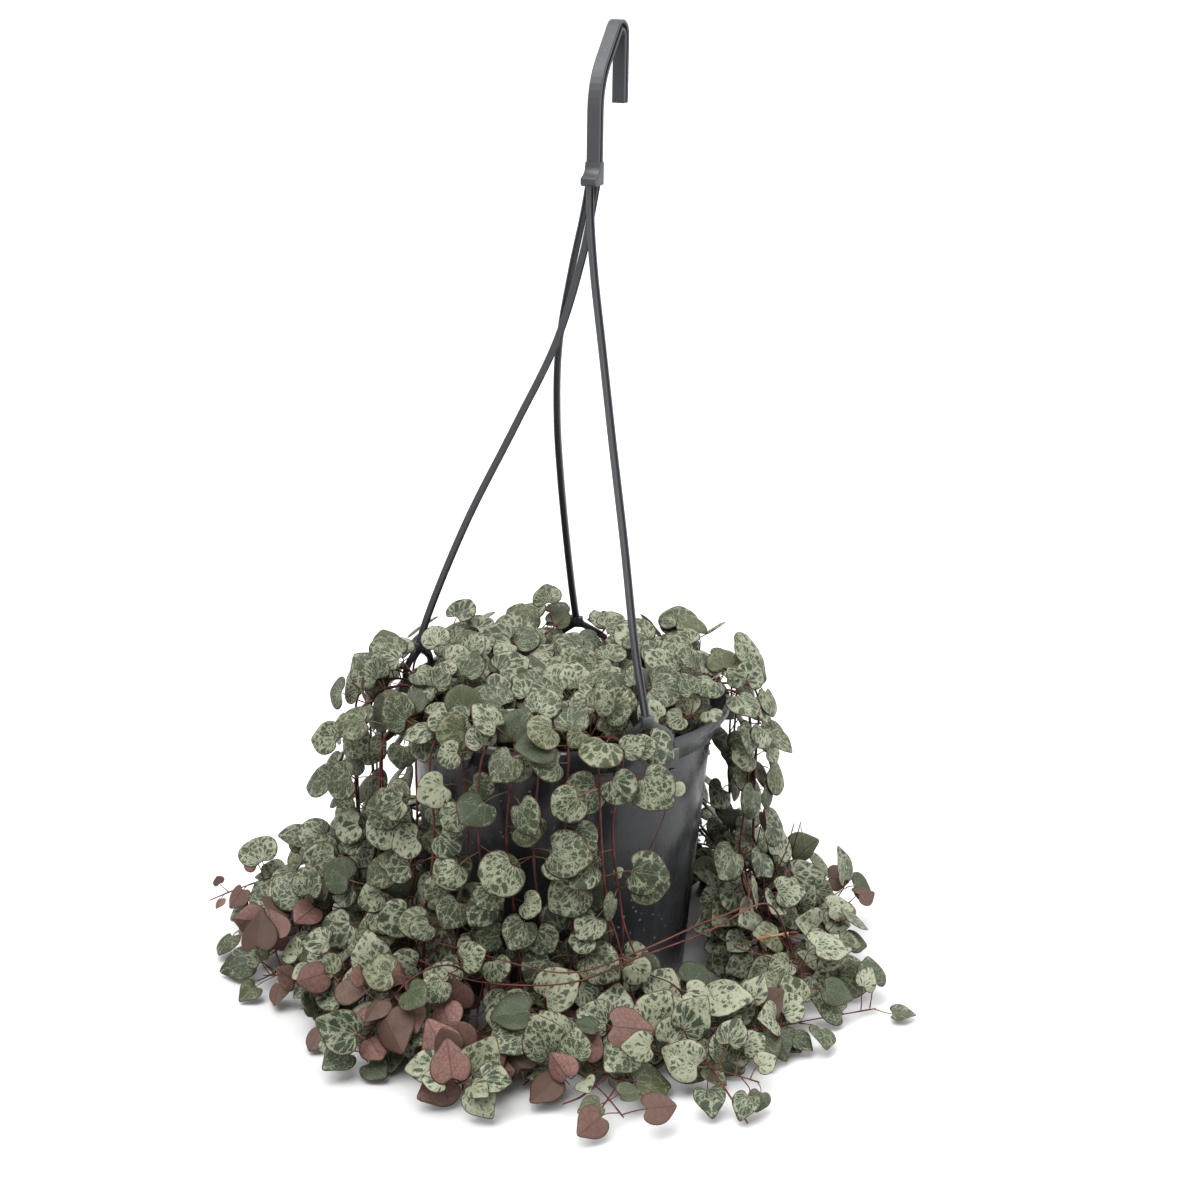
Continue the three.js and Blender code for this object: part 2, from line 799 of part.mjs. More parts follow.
/** One try at placing a leaf of a pair: its blade's frame, and the disc that covers it. */
function tryLeaf(place, random, attempt) {
  const { point, tangent, side, size, flipped } = place;
  const loose = attempt / LEAF.attempts;
  const vary = (amount) => amount * (2 * random() - 1);
  const normal = facing(point, flipped);
  const spread = THREE.MathUtils.lerp(...LEAF.turn, loose);
  normal.add(vec(vary(spread), vary(spread), vary(spread))).normalize();
  const across = tangent.clone().cross(normal).multiplyScalar(side);
  if (across.lengthSq() < 0.04) {
    across.set(vary(1), vary(1), 0);
  }
  across.normalize();
  const along = tangent.clone();
  const lift = facing(point, false);
  const stalkWay = across.clone().addScaledVector(along, 0.3 + vary(0.5));
  stalkWay.addScaledVector(lift, 0.25 + 0.9 * random()).normalize();
  const width = size * (1 - 0.35 * loose);
  const stalk = (LEAF.stalk + (LEAF.stalkSpread + 6 * loose) * random()) * Math.min(1, size / 12);
  const root = point.clone().addScaledVector(tangent, side * LEAF.rootOffset);
  const base = root.clone().addScaledVector(stalkWay, stalk);
  const axis = across.clone().addScaledVector(along, 0.45 + vary(0.6 + loose));
  axis.addScaledVector(UP, -0.25);
  axis.addScaledVector(normal, -axis.dot(normal)).normalize();
  const sideways = axis.clone().cross(normal);
  const centre = base.clone().addScaledVector(axis, LEAF.middle * width);
  const disc = { centre, normal, axis, side: sideways, radius: LEAF.reach * width };
  return { root, base, stalkWay, width, disc };
}

const IN_SIGHT = placesInSight();

/** Places the two leaves of a pair, each at the first try that is free, or leaves it out. */
function placePair(room, place, random, owner) {
  const leaves = [];
  for (const side of [-1, 1]) {
    for (let attempt = 0; attempt < LEAF.attempts; attempt += 1) {
      const leaf = tryLeaf({ ...place, side }, random, attempt);
      const stalk = [leaf.root, leaf.base];
      const straight = leaf.stalkWay.dot(leaf.disc.axis) > LEAF.straightest;
      const open = straight && !hides(leaf.disc, IN_SIGHT);
      const clear = open && room.discFree(leaf.disc, owner, leaf.root);
      if (clear && room.lineFree(stalk, LEAF.stalkRadius, owner, 1)) {
        room.addLine(stalk, LEAF.stalkRadius, owner);
        room.discs.push(leaf.disc);
        leaves.push(leaf);
        break;
      }
    }
  }
  return leaves;
}

/** A blade and its stalk as one closed solid: a domed heart, keeled below, on a three-sided stalk. */
function leafSolid({ root, base, stalkWay, width, disc }) {
  const { axis, side, normal } = disc;
  const thick = width / LEAF.width;
  const place = (x, y, z) => {
    const point = base.clone().addScaledVector(side, x);
    return point.addScaledVector(axis, y).addScaledVector(normal, z);
  };
  const right = LEAF_HALF.map(([x, y]) => place(x * width, y * width, 0));
  const left = LEAF_HALF.slice(0, -1).map(([x, y]) => place(-x * width, y * width, 0));
  const outline = [...right, ...left.reverse()];
  const count = outline.length;
  const across = stalkWay.clone().cross(normal).normalize().multiplyScalar(LEAF.rootRadius);
  const below = across.clone().cross(stalkWay).multiplyScalar(-1);
  const vertices = [
    ...outline,
    place(0, LEAF.middle * width, LEAF.crown * thick),
    place(0, LEAF.heelPlace * width, -LEAF.heel * thick),
    root.clone().add(across),
    root.clone().sub(across),
    root.clone().add(below),
  ];
  const [top, heel, rootRight, rootLeft, rootBelow] = [0, 1, 2, 3, 4].map((k) => count + k);
  const faces = [];
  for (let k = 0; k < count - 1; k += 1) {
    faces.push([top, k, k + 1], [heel, k + 1, k]);
  }
  const last = count - 1;
  faces.push([top, last, 0]);
  faces.push([0, last, rootLeft], [0, rootLeft, rootRight]);
  faces.push([last, heel, rootBelow], [last, rootBelow, rootLeft]);
  faces.push([heel, 0, rootRight], [heel, rootRight, rootBelow]);
  faces.push([rootRight, rootLeft, rootBelow]);
  const geometry = new THREE.BufferGeometry().setFromPoints(vertices);
  geometry.setIndex(faces.flat());
  return solid(geometry);
}

// --- stems with their leaves ---------------------------------------------------------------------------

/** Finds a free route for a stem, and keeps it in the room. */
function routeStem(room, route, owner) {
  for (let attempt = 0; attempt < STEM.attempts; attempt += 1) {
    const line = stemLine(route(attempt));
    const upper = spaced(line, ROOM.spacing).slice(Math.ceil((STEM.rootDepth + 4) / ROOM.spacing));
    const clear = upper.every((point) => room.offPot(point, STEM.radius + GAP));
    if (clear && room.lineFree(line, STEM.radius, owner)) {
      room.addLine(line, STEM.radius, owner);
      return line;
    }
  }
  throw new Error(`stem ${owner} finds no free route`);
}

/** The places on a stem where leaf pairs stand, from its root to its tip. */
function nodesOf(line, { first, size, flips, tip }, random) {
  const total = lengthOf(line);
  const places = [];
  let run = 0;
  let next = first;
  for (let k = 1; k < line.length; k += 1) {
    run += line[k].distanceTo(line[k - 1]);
    if (run >= next || k === line.length - 1) {
      const point = line[k].clone().add(line[k - 1]).multiplyScalar(0.5);
      const tangent = line[k].clone().sub(line[k - 1]).normalize();
      const share = Math.max(run / total, LEAF.lastLeaves);
      const young = THREE.MathUtils.mapLinear(share, LEAF.lastLeaves, 1, 1, tip);
      const spread = LEAF.widthSpread * (2 * random() - 1) * (size / LEAF.width);
      const flipped = random() < (zoneOf(point) === 'lying' ? flips : LEAF.stray);
      places.push({ point, tangent, size: (size + spread) * young, flipped });
      next = run + LEAF.spacing[zoneOf(point)];
    }
  }
  return places;
}

function lengthOf(line) {
  return line.slice(1).reduce((sum, point, k) => sum + point.distanceTo(line[k]), 0);
}

function stemSolid(line, leaves) {
  const section = shapeOf(roundSection(STEM.radius, STEM.sides));
  const options = { steps: line.length - 1, extrudePath: new JointedCurve(line) };
  const tube = solid(new THREE.ExtrudeGeometry(section, options));
  return union([tube, ...leaves.map(leafSolid)]);
}

/** Everything that grows: one entry for each stem, with its line and its leaves. */
function growPlant() {
  const random = makeRandom(SEED);
  const room = new Room();
  usedLugs.forEach((angle, index) => {
    room.addLine(strandPoints(index), HANGER.strandRadius + GAP, 'hanger');
    for (const side of [-1, 1]) {
      const leg = (z) => polar(angle, archPlane, z).add(polar(angle + 90, side * HANGER.archSpan, 0));
      const apex = polar(angle, archPlane, POT.height + HANGER.archRise + 1);
      room.addLine([leg(106), leg(POT.height + 4), apex], HANGER.legWidth / 2 + 0.4, 'hanger');
    }
  });
  const stems = [];
  const add = (name, route, leafing) => {
    const line = routeStem(room, route, name);
    stems.push({ name, line, leafing, leaves: [] });
  };
  const number = (k) => String(k + 1).padStart(2, '0');
  const youngSize = LEAF.width * YOUNG_STEM.scale;
  const youngLeafing = { first: YOUNG_STEM.firstLeaf, size: youngSize, flips: 0, tip: TIP_SIZE };
  add('young_stem', (attempt) => youngRoute(random, attempt), youngLeafing);
  TRAILING_STEMS.forEach((row, k) => {
    const first = STEM.firstLeaf + 7 * (k % 2);
    const leafing = { first, size: LEAF.width, flips: LEAF.flips, tip: row[6] ?? TIP_SIZE };
    add(`trailing_stem_${number(k)}`, (attempt) => trailingRoute(row, random, attempt), leafing);
  });
  for (let k = 0; k < CROWN.count; k += 1) {
    const leafing = { first: CROWN.firstLeaf, size: LEAF.width, flips: 0, tip: TIP_SIZE };
    add(`crown_stem_${number(k)}`, (attempt) => crownRoute(k, random, attempt), leafing);
  }
  for (const stem of stems) {
    for (const place of nodesOf(stem.line, stem.leafing, random)) {
      stem.leaves.push(...placePair(room, place, random, stem.name));
    }
  }
  return stems;
}

// --- the soil ------------------------------------------------------------------------------------------

/** The compost fills the pot to below the collar, with one plain hole for each stem. */
function buildSoil(stems) {
  const edge = (z) => wallRadius(z) - POT.wall - GAP;
  const bottom = POT.floor + GAP;
  const profile = [[0, bottom], [edge(bottom) - 0.2, bottom], [edge(SOIL.top), SOIL.top], [0, SOIL.top]];
  const holes = stems.map(({ line }) => {
    const { holeRadius, holeDepth, holeSides } = SOIL;
    const hole = new THREE.CylinderGeometry(holeRadius, holeRadius, 2 * holeDepth, holeSides);
    hole.rotateX(Math.PI / 2);
    hole.translate(line[0].x, line[0].y, SOIL.top);
    return solid(hole);
  });
  return turned(profile, POT.sides).subtract(union(holes));
}

// --- the assembly --------------------------------------------------------------------------------------

const plastic = new THREE.MeshStandardMaterial({ color: COLORS.plastic, roughness: 0.42, metalness: 0 });
const compost = new THREE.MeshStandardMaterial({ color: COLORS.soil, roughness: 0.95, metalness: 0 });
const foliage = new THREE.MeshStandardMaterial({ color: COLORS.leaf, roughness: 0.6, metalness: 0 });

const stringOfHearts = new THREE.Group();
const stems = growPlant();
stringOfHearts.add(meshOf('pot', buildPot(), plastic));
stringOfHearts.add(meshOf('hanger', buildHanger(), plastic));
stringOfHearts.add(meshOf('soil', buildSoil(stems), compost));
for (const { name, line, leaves } of stems) {
  stringOfHearts.add(meshOf(name, stemSolid(line, leaves), foliage));
}

export default stringOfHearts;
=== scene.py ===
"""A string of hearts trailing from a plastic hanging pot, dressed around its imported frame.

Sizes are in millimetres and degrees until a mesh is made, and +Z is up.  The pot stands on z = 0 round the
Z axis.  Places round the pot are given as an angle, counted counter-clockwise from +X seen from above, a
radius from the pot's axis and a height.
"""

import logging
import math
from collections.abc import Callable, Sequence
from dataclasses import dataclass, field
from enum import Enum

import bmesh
import bpy
import numpy as np
from bmesh.types import BMEdge, BMesh, BMFace, BMVert
from bpy.types import Material, Mesh, NodeSocket, Object
from mathutils import Matrix, Vector, noise


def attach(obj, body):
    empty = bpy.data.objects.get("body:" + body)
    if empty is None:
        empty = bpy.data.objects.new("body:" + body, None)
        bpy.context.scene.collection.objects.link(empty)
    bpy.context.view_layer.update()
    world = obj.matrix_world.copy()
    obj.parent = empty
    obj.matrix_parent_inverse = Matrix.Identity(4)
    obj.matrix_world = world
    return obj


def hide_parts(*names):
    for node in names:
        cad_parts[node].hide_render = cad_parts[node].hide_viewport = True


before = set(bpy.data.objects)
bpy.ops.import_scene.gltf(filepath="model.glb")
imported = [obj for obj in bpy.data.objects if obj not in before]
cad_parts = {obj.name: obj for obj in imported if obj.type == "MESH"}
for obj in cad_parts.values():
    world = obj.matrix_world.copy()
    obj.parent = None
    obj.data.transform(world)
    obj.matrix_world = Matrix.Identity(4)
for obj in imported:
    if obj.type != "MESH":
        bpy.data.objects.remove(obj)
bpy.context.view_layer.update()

log = logging.getLogger("string_of_hearts")

MM = 0.001
MERGED = 1e-4

Array = np.ndarray
Points = Sequence[Array]
Route = list[Array]
Pairs = list[tuple[float, float]]
Place = tuple[float, float, float]
Colour = tuple[float, float, float]
Settings = dict[str, object]

UP = np.array([0.0, 0.0, 1.0])


# --- small helpers ---


def polar(angle: float, radius: float, z: float) -> Array:
    """A point given by its angle in degrees, its radius and its height."""
    turn = math.radians(angle)
    return np.array([radius * math.cos(turn), radius * math.sin(turn), z])


def bearing(point: Array) -> tuple[float, float]:
    """The angle in degrees and the radius of a point."""
    return math.degrees(math.atan2(point[1], point[0])), math.hypot(point[0], point[1])


def unit(vector: Array) -> Array:
    """The vector at length one."""
    return vector / math.sqrt(float(vector @ vector))


def outwards(point: Array) -> Array:
    """The level way from the pot's axis to a point."""
    return unit(np.array([point[0], point[1], 0.0]))


def distance(a: Array, b: Array) -> float:
    """The distance between two points."""
    return math.sqrt(float((a - b) @ (a - b)))


def length_of(line: Points) -> float:
    """The length of a broken line."""
    return sum(distance(a, b) for a, b in zip(line, line[1:]))


def cross(a: Array, b: Array) -> Array:
    """The cross product of two vectors, which is quicker here than the library's."""
    return np.array([a[1] * b[2] - a[2] * b[1], a[2] * b[0] - a[0] * b[2], a[0] * b[1] - a[1] * b[0]])


def blend(low: float, high: float, share: float) -> float:
    """The value that lies a share of the way from low to high."""
    return low + (high - low) * share


def basis(x: Array, y: Array, z: Array, place: Array) -> Matrix:
    """A placing matrix from three axes and a place."""
    rows = [[*(float(axis[k]) for axis in (x, y, z)), float(place[k])] for k in range(3)]
    return Matrix([*rows, [0, 0, 0, 1]])


def turned_to(angle: float) -> Matrix:
    """A turn round the Z axis by an angle in degrees."""
    return Matrix.Rotation(math.radians(angle), 4, "Z")


class Seeded:
    """A seeded source of numbers from 0 to 1."""

    def __init__(self, seed: int) -> None:
        """Starts the source from a whole number."""
        self.state = seed & 0xFFFFFFFF

    def __call__(self) -> float:
        """The next number from 0 to 1."""
        self.state = (self.state * 1664525 + 1013904223) & 0xFFFFFFFF
        return self.state / 4294967296

    def vary(self, amount: float) -> float:
        """A number between minus and plus an amount."""
        return amount * (2 * self() - 1)

    def jitter(self, amount: float) -> Array:
        """A vector of three such numbers."""
        return np.array([self.vary(amount) for _ in range(3)])

    def between(self, low: float, high: float) -> float:
        """A number between two others."""
        return low + (high - low) * self()


# --- materials ---


class Wire:
    """A shader socket that is used like a number, and adds Math nodes as it goes."""

    def __init__(self, kit: "MaterialKit", socket: NodeSocket) -> None:
        """Wraps an output socket of a material."""
        self.kit, self.socket = kit, socket

    def __add__(self, other: object) -> "Wire":
        """The sum."""
        return self.kit.maths("ADD", self, other)

    def __radd__(self, other: object) -> "Wire":
        """The sum, with the wire on the right."""
        return self.kit.maths("ADD", other, self)

    def __sub__(self, other: object) -> "Wire":
        """The difference."""
        return self.kit.maths("SUBTRACT", self, other)

    def __rsub__(self, other: object) -> "Wire":
        """The difference, with the wire on the right."""
        return self.kit.maths("SUBTRACT", other, self)

    def __mul__(self, other: object) -> "Wire":
        """The product."""
        return self.kit.maths("MULTIPLY", self, other)

    def __rmul__(self, other: object) -> "Wire":
        """The product, with the wire on the right."""
        return self.kit.maths("MULTIPLY", other, self)

    def __abs__(self) -> "Wire":
        """The value without its sign."""
        return self.kit.maths("ABSOLUTE", self, 0.0)

    def least(self, other: object) -> "Wire":
        """The smaller of two values."""
        return self.kit.maths("MINIMUM", self, other)

    def most(self, other: object) -> "Wire":
        """The larger of two values."""
        return self.kit.maths("MAXIMUM", self, other)

    def rise(self, low: object, high: object) -> "Wire":
        """A smooth step from 0, where the value is low, to 1, where it is high."""
        inputs = {"Value": self, "From Min": low, "From Max": high}
        return self.kit.value("ShaderNodeMapRange", {"interpolation_type": "SMOOTHSTEP"}, inputs)


class MaterialKit:
    """Builds the node tree of one material."""

    def __init__(self, name: str) -> None:
        """Starts an empty material with an output.

        Args:
            name: The material's name.
        """
        self.material = bpy.data.materials.new(name)
        self.material.use_nodes = True
        self.tree = self.material.node_tree
        self.tree.nodes.clear()
        self.output = self.tree.nodes.new("ShaderNodeOutputMaterial")

    def node(self, kind: str, settings: Settings | None = None, inputs: dict | None = None) -> bpy.types.Node:
        """Adds a node.

        Args:
            kind: The node's type.
            settings: What is set on the node first.
            inputs: A value, a wire or a socket for each input, by its name or number.

        Returns:
            The node.
        """
        made = self.tree.nodes.new(kind)
        for name, value in (settings or {}).items():
            setattr(made, name, value)
        for name, value in (inputs or {}).items():
            source = value.socket if isinstance(value, Wire) else value
            if isinstance(source, NodeSocket):
                self.tree.links.new(source, made.inputs[name])
            else:
                made.inputs[name].default_value = source
        return made

    def value(self, kind: str, settings: Settings | None, inputs: dict, output: object = 0) -> Wire:
        """Adds a node and wraps one of its outputs as a number."""
        return Wire(self, self.node(kind, settings, inputs).outputs[output])

    def maths(self, operation: str, first: object, second: object) -> Wire:
        """A Math node on two numbers or wires."""
        return self.value("ShaderNodeMath", {"operation": operation}, {0: first, 1: second})

    def parts(self, socket: NodeSocket, kind: str = "Color") -> list[Wire]:
        """The three numbers of a colour, or of a vector where the kind is XYZ."""
        outputs = self.node(f"ShaderNodeSeparate{kind}", None, {0: socket}).outputs
        return [Wire(self, outputs[k]) for k in range(3)]

    def joined(self, *numbers: object) -> NodeSocket:
        """A vector from numbers or wires."""
        return self.node("ShaderNodeCombineXYZ", None, dict(enumerate(numbers))).outputs[0]

    def object_place(self) -> NodeSocket:
        """The object coordinates."""
        return self.node("ShaderNodeTexCoord").outputs["Object"]

    def mix(self, share: object, first: object, second: object) -> NodeSocket:
        """Mixes two colours.

        Args:
            share: How much of the second colour shows.
            first: A colour or a socket.
            second: A colour or a socket.

        Returns:
            The mixed colour's socket.
        """
        colours = [(*c, 1.0) if isinstance(c, tuple) else c for c in (first, second)]
        inputs = {0: share, 6: colours[0], 7: colours[1]}
        return self.node("ShaderNodeMix", {"data_type": "RGBA"}, inputs).outputs[2]

    def moved(self, vector: NodeSocket, other: object, operation: str = "ADD") -> NodeSocket:
        """A Vector Math node on a vector and another one."""
        return self.node("ShaderNodeVectorMath", {"operation": operation}, {0: vector, 1: other}).outputs[0]

    def cloud(self, vector: NodeSocket, scale: float, detail: float = 2.0) -> Wire:
        """A soft noise from 0 to 1, with some finer layers."""
        return self.value("ShaderNodeTexNoise", None, {"Vector": vector, "Scale": scale, "Detail": detail})

    def cells(self, vector: NodeSocket, scale: object, feature: str = "DISTANCE_TO_EDGE") -> Wire:
        """The distance to the nearest edge between cells, or to the nearest middle where it is F1."""
        inputs = {"Vector": vector, "Scale": scale}
        return self.value("ShaderNodeTexVoronoi", {"feature": feature}, inputs, "Distance")

    def finish(self, inputs: dict, relief: Wire | None = None, depth: float = 0.0) -> Material:
        """Joins a Principled shader to the output.

        Args:
            inputs: The shader's inputs.
            relief: The height that the surface's bump follows.
            depth: The bump's depth in metres.

        Returns:
            The finished material.
        """
        if relief is not None:
            bump = self.node("ShaderNodeBump", None, {"Height": relief, "Strength": 1.0, "Distance": depth})
            inputs = {**inputs, "Normal": bump.outputs["Normal"]}
        shader = self.node("ShaderNodeBsdfPrincipled", None, inputs)
        self.tree.links.new(shader.outputs[0], self.output.inputs["Surface"])
        return self.material


@dataclass(frozen=True)
class PlasticFinish:
    """Moulded grey plastic with fine scuffs, dried water specks, and a painted sheen that makes the collar lighter.
    """

    name: str
    colour: Colour
    # light is the pale tone of the real dust and streaks, and also of the painted sheen on the collar.
    light: Colour
    roughness: float
    specks: float
    speck: Colour = (0.42, 0.43, 0.44)
    # collar gives the heights, in metres, over which the plastic is painted lighter upwards: a painted sheen on the
    # collar and on everything above it.
    collar: tuple[float, float] = (0.1075, 0.111)
    relief: float = 0.0002

    def material(self) -> Material:
        """Makes the material.

        Returns:
            The material, which follows object coordinates.
        """
        kit = MaterialKit(self.name)
        place = kit.object_place()
        clouds = kit.cloud(place, 34.0, 3.0)
        grain = kit.cloud(place, 900.0, 2.0)
        streak = kit.cloud(kit.moved(place, (60.0, 60.0, 7.0), "MULTIPLY"), 4.0, 3.0)
        drops = kit.cells(place, 260.0, "F1")
        patch = kit.cloud(place, 22.0, 1.0).rise(0.52, 0.68)
        specks = (1 - drops.rise(0.06, 0.2)) * patch * self.specks * 0.4
        # Painted sheen: from just under the collar's lower edge upwards, the plastic is painted towards its pale
        # colour.
        collar = kit.parts(place, "XYZ")[2].rise(*self.collar) * 0.55
        # The real dust and streaks, joined with the collar's painted sheen.
        dust_and_sheen = (clouds.rise(0.42, 0.8) * 0.45 + streak.rise(0.55, 0.8) * 0.4 + collar) * self.specks
        tone = kit.mix(dust_and_sheen.most(grain.rise(0.5, 1.0) * 0.25), self.colour, self.light)
        colour = kit.mix(specks, tone, self.speck)
        rough = clouds * 0.12 + streak * 0.1 + specks * 0.4 + (self.roughness - 0.1)
        relief = clouds * 0.4 + grain * 0.05 + specks * 0.1
        return kit.finish({"Base Color": colour, "Roughness": rough}, relief, self.relief)


@dataclass(frozen=True)
class CompostFinish:
    """Damp, nearly black compost with paler crumbs."""

    dark: Colour = (0.011, 0.008, 0.006)
    brown: Colour = (0.045, 0.026, 0.015)
    straw: Colour = (0.26, 0.15, 0.07)
    relief: float = 0.0016

    def material(self) -> Material:
        """Makes the material.

        Returns:
            The material, which follows object coordinates.
        """
        kit = MaterialKit("compost")
        place = kit.object_place()
        lumps = kit.cloud(place, 190.0, 4.0)
        fine = kit.cloud(place, 900.0, 3.0)
        cells = kit.node("ShaderNodeTexVoronoi", None, {"Vector": place, "Scale": 330.0})
        shade = kit.parts(cells.outputs["Color"])[0]
        base = kit.mix(lumps.rise(0.35, 0.75), self.dark, self.brown)
        colour = kit.mix(shade.rise(0.9, 0.93) * fine.rise(0.4, 0.6), base, self.straw)
        relief = lumps * 0.7 + fine * 0.5
        return kit.finish({"Base Color": colour, "Roughness": fine * 0.2 + 0.72}, relief, self.relief)


class LeafMarks:
    """What the foliage's material reads from the vertices' two colour attributes and from the leaf's map.

    "growth" holds a number for each leaf, how silvery it is, 1 on the upper face and 0 below, and 1 on a
    blade and 0 on a stem.  "state" holds how near the margin a place is, how olive, how dry and how flushed.
    The leaf's own map, in centimetres, carries the marbling.
    """

    def __init__(self, kit: MaterialKit) -> None:
        """Reads the marks.

        Args:
            kit: The material.
        """
        attribute = "ShaderNodeAttribute"
        growth, state = (kit.node(attribute, {"attribute_name": name}).outputs for name in ("growth", "state"))
        self.seed, self.silvery, self.upper = kit.parts(growth["Color"])
        self.edge, self.olive, self.dry = kit.parts(state["Color"])
        self.blade, self.flush = Wire(kit, growth["Alpha"]), Wire(kit, state["Alpha"])
        self.map = kit.node("ShaderNodeUVMap", {"uv_map": "leaf"}).outputs[0]
        self.offset = kit.joined(self.seed * 37.0, self.seed * 91.0, self.seed * 53.0)
        self.spot = kit.moved(self.map, self.offset)
        self.across, self.along, _ = kit.parts(self.map, "XYZ")


@dataclass(frozen=True)
class FoliageFinish:
    """The skin of stems, stalks and marbled leaves."""

    silver: Colour = (0.222, 0.234, 0.168)
    pale: Colour = (0.155, 0.165, 0.112)
    green: Colour = (0.052, 0.064, 0.038)
    dark: Colour = (0.020, 0.029, 0.016)
    olive: Colour = (0.080, 0.078, 0.030)
    margin: Colour = (0.075, 0.042, 0.024)
    mauve: Colour = (0.185, 0.104, 0.092)
    plum: Colour = (0.060, 0.030, 0.027)
    bronze: Colour = (0.052, 0.034, 0.022)
    wine: Colour = (0.060, 0.016, 0.015)
    rose_and_highlight: Colour = (0.150, 0.045, 0.040)
    # The stems' rose blotches: partly their own paler tone, partly painted highlight.
    lime: Colour = (0.135, 0.125, 0.045)
    tan: Colour = (0.40, 0.22, 0.10)
    cell: float = 4.4
    finer_cell: float = 2.3
    shine: float = 0.25
    bold: float = 0.8
    fan: tuple[float, float] = (0.85, 0.7)
    swirl: float = 0.17
    vein_turn: float = 0.62
    relief: float = 0.00012

    def material(self) -> Material:
        """Makes the material.

        Returns:
            The material, which follows the leaf's map and the vertices' marks.
        """
        kit = MaterialKit("foliage")
        marks = LeafMarks(kit)
        top, island = self._upper(kit, marks)
        top = kit.mix(marks.olive * 0.75, top, self.olive)
        low, rib = self._under(kit, marks)
        leaf = kit.mix(marks.upper.rise(0.35, 0.62), low, top)
        leaf = kit.mix(marks.edge.rise(0.86, 0.97) * 0.85, leaf, self.margin)
        colour = kit.mix(marks.dry, kit.mix(marks.blade, self._stem(kit, marks), leaf), self.tan)
        rough = 0.42 + island * 0.06 + (1 - marks.upper) * 0.16
        relief = island * -0.5 * marks.upper + rib * (1 - marks.upper)
        inputs = {"Base Color": colour, "Roughness": rough, "Specular IOR Level": self.shine}
        return kit.finish(inputs, relief * marks.blade, self.relief)

    def _upper(self, kit: MaterialKit, marks: LeafMarks) -> tuple[NodeSocket, Wire]:
        """The marbling of the upper face: green islands that spread from the notch, in a net of silver.

        Args:
            kit: The material.
            marks: The leaf's marks.

        Returns:
            The colour, and 1 where a dark island lies.
        """
        turn = kit.maths("ARCTAN2", marks.across, marks.along)
        radius = kit.value("ShaderNodeVectorMath", {"operation": "LENGTH"}, {0: marks.map}, "Value")
        fan = kit.joined(turn * self.fan[0], radius * self.fan[1])
        swirl = kit.node("ShaderNodeTexNoise", None, {"Vector": marks.spot, "Scale": 8.0, "Detail": 3.0})
        bent = kit.moved(swirl.outputs["Color"], (self.swirl,) * 3, "MULTIPLY")
        bent = kit.moved(kit.moved(fan, marks.offset), bent)
        bold = marks.seed.rise(self.bold, self.bold + 0.02)
        scale = (1 - bold * 0.36) * self.cell
        cells, tiny = kit.cells(bent, scale), kit.cells(bent, scale * self.finer_cell)
        broad, fine = kit.cloud(marks.spot, 2.0, 1.0), kit.cloud(marks.spot, 24.0, 3.0)
        level = marks.silvery * 0.23 + (broad - 0.5) * 0.34 + (fine - 0.5) * 0.5
        level = level + marks.edge.rise(0.55, 0.9) * 0.03 + 0.02
        large = cells.rise(level, level + 0.07)
        small = tiny.rise(level * 0.9 + 0.12, level * 0.9 + 0.22)
        veins = self._veins(kit, turn, radius) * (marks.silvery.rise(-0.4, 0.4) * 0.5 + broad * 0.4)
        island = large.most(small * 0.8) * (1 - veins)
        shade = kit.mix(fine.rise(0.3, 0.65) * (1 - bold * 0.6), self.dark, self.green)
        ground = kit.mix((marks.silvery * 0.75 + broad * 0.6 - 0.15).least(1.0), self.pale, self.silver)
        halo = kit.mix(cells.rise(level - 0.1, level) * 0.35, ground, self.green)
        return kit.mix(island, halo, shade), island

    def _veins(self, kit: MaterialKit, turn: Wire, radius: Wire) -> Wire:
        """1 along the pale veins that spread like a fan from the notch, given the way and distance from it."""
        half = self.vein_turn / 2
        return 1 - (kit.maths("PINGPONG", turn + 20 * half, half) * radius).rise(0.006, 0.040)

    def _under(self, kit: MaterialKit, marks: LeafMarks) -> tuple[NodeSocket, Wire]:
        """The mauve underside with its darker veins.

        Args:
            kit: The material.
            marks: The leaf's marks.

        Returns:
            The colour, and 1 along the midrib.
        """
        rib = 1 - abs(marks.across).rise(0.01, 0.05)
        base = kit.mix(marks.flush, self.bronze, self.mauve)
        shaded = kit.mix(kit.cloud(marks.spot, 9.0, 4.0).rise(0.35, 0.7) * 0.5, base, self.plum)
        veined = kit.mix((1 - kit.cells(marks.spot, 2.6).rise(0.0, 0.07)) * 0.35, shaded, self.plum)
        tinted = kit.mix(marks.seed.rise(0.7, 1.0) * 0.3, veined, self.green)
        return kit.mix(rib * 0.6, tinted, self.plum), rib

    def _stem(self, kit: MaterialKit, marks: LeafMarks) -> NodeSocket:
        """The colour of the wine-red stems, with rose blotches that are partly their own paler tone and partly
        painted highlight, and of the stalks that turn yellow-green.
        """
        blotch = kit.cloud(kit.object_place(), 160.0, 3.0)
        return kit.mix(1 - marks.flush, kit.mix(blotch.rise(0.4, 0.75) * 0.7, self.wine, self.rose_and_highlight), self.lime)


# --- shaping in mesh code ---


def linked(name: str, data: bpy.types.ID) -> Object:
    """A new object with some data, in the scene.

    Args:
        name: Its name.
        data: Its data.

    Returns:
        The object.
    """
    made = bpy.data.objects.new(name, data)
    bpy.context.scene.collection.objects.link(made)
    return made


def as_mesh(bm: BMesh, name: str = "scratch") -> Mesh:
    """Turns a bmesh into a mesh, and frees it.

    Args:
        bm: The bmesh.
        name: The mesh's name.

    Returns:
        The mesh.
    """
    mesh = bpy.data.meshes.new(name)
    bm.to_mesh(mesh)
    bm.free()
    return mesh


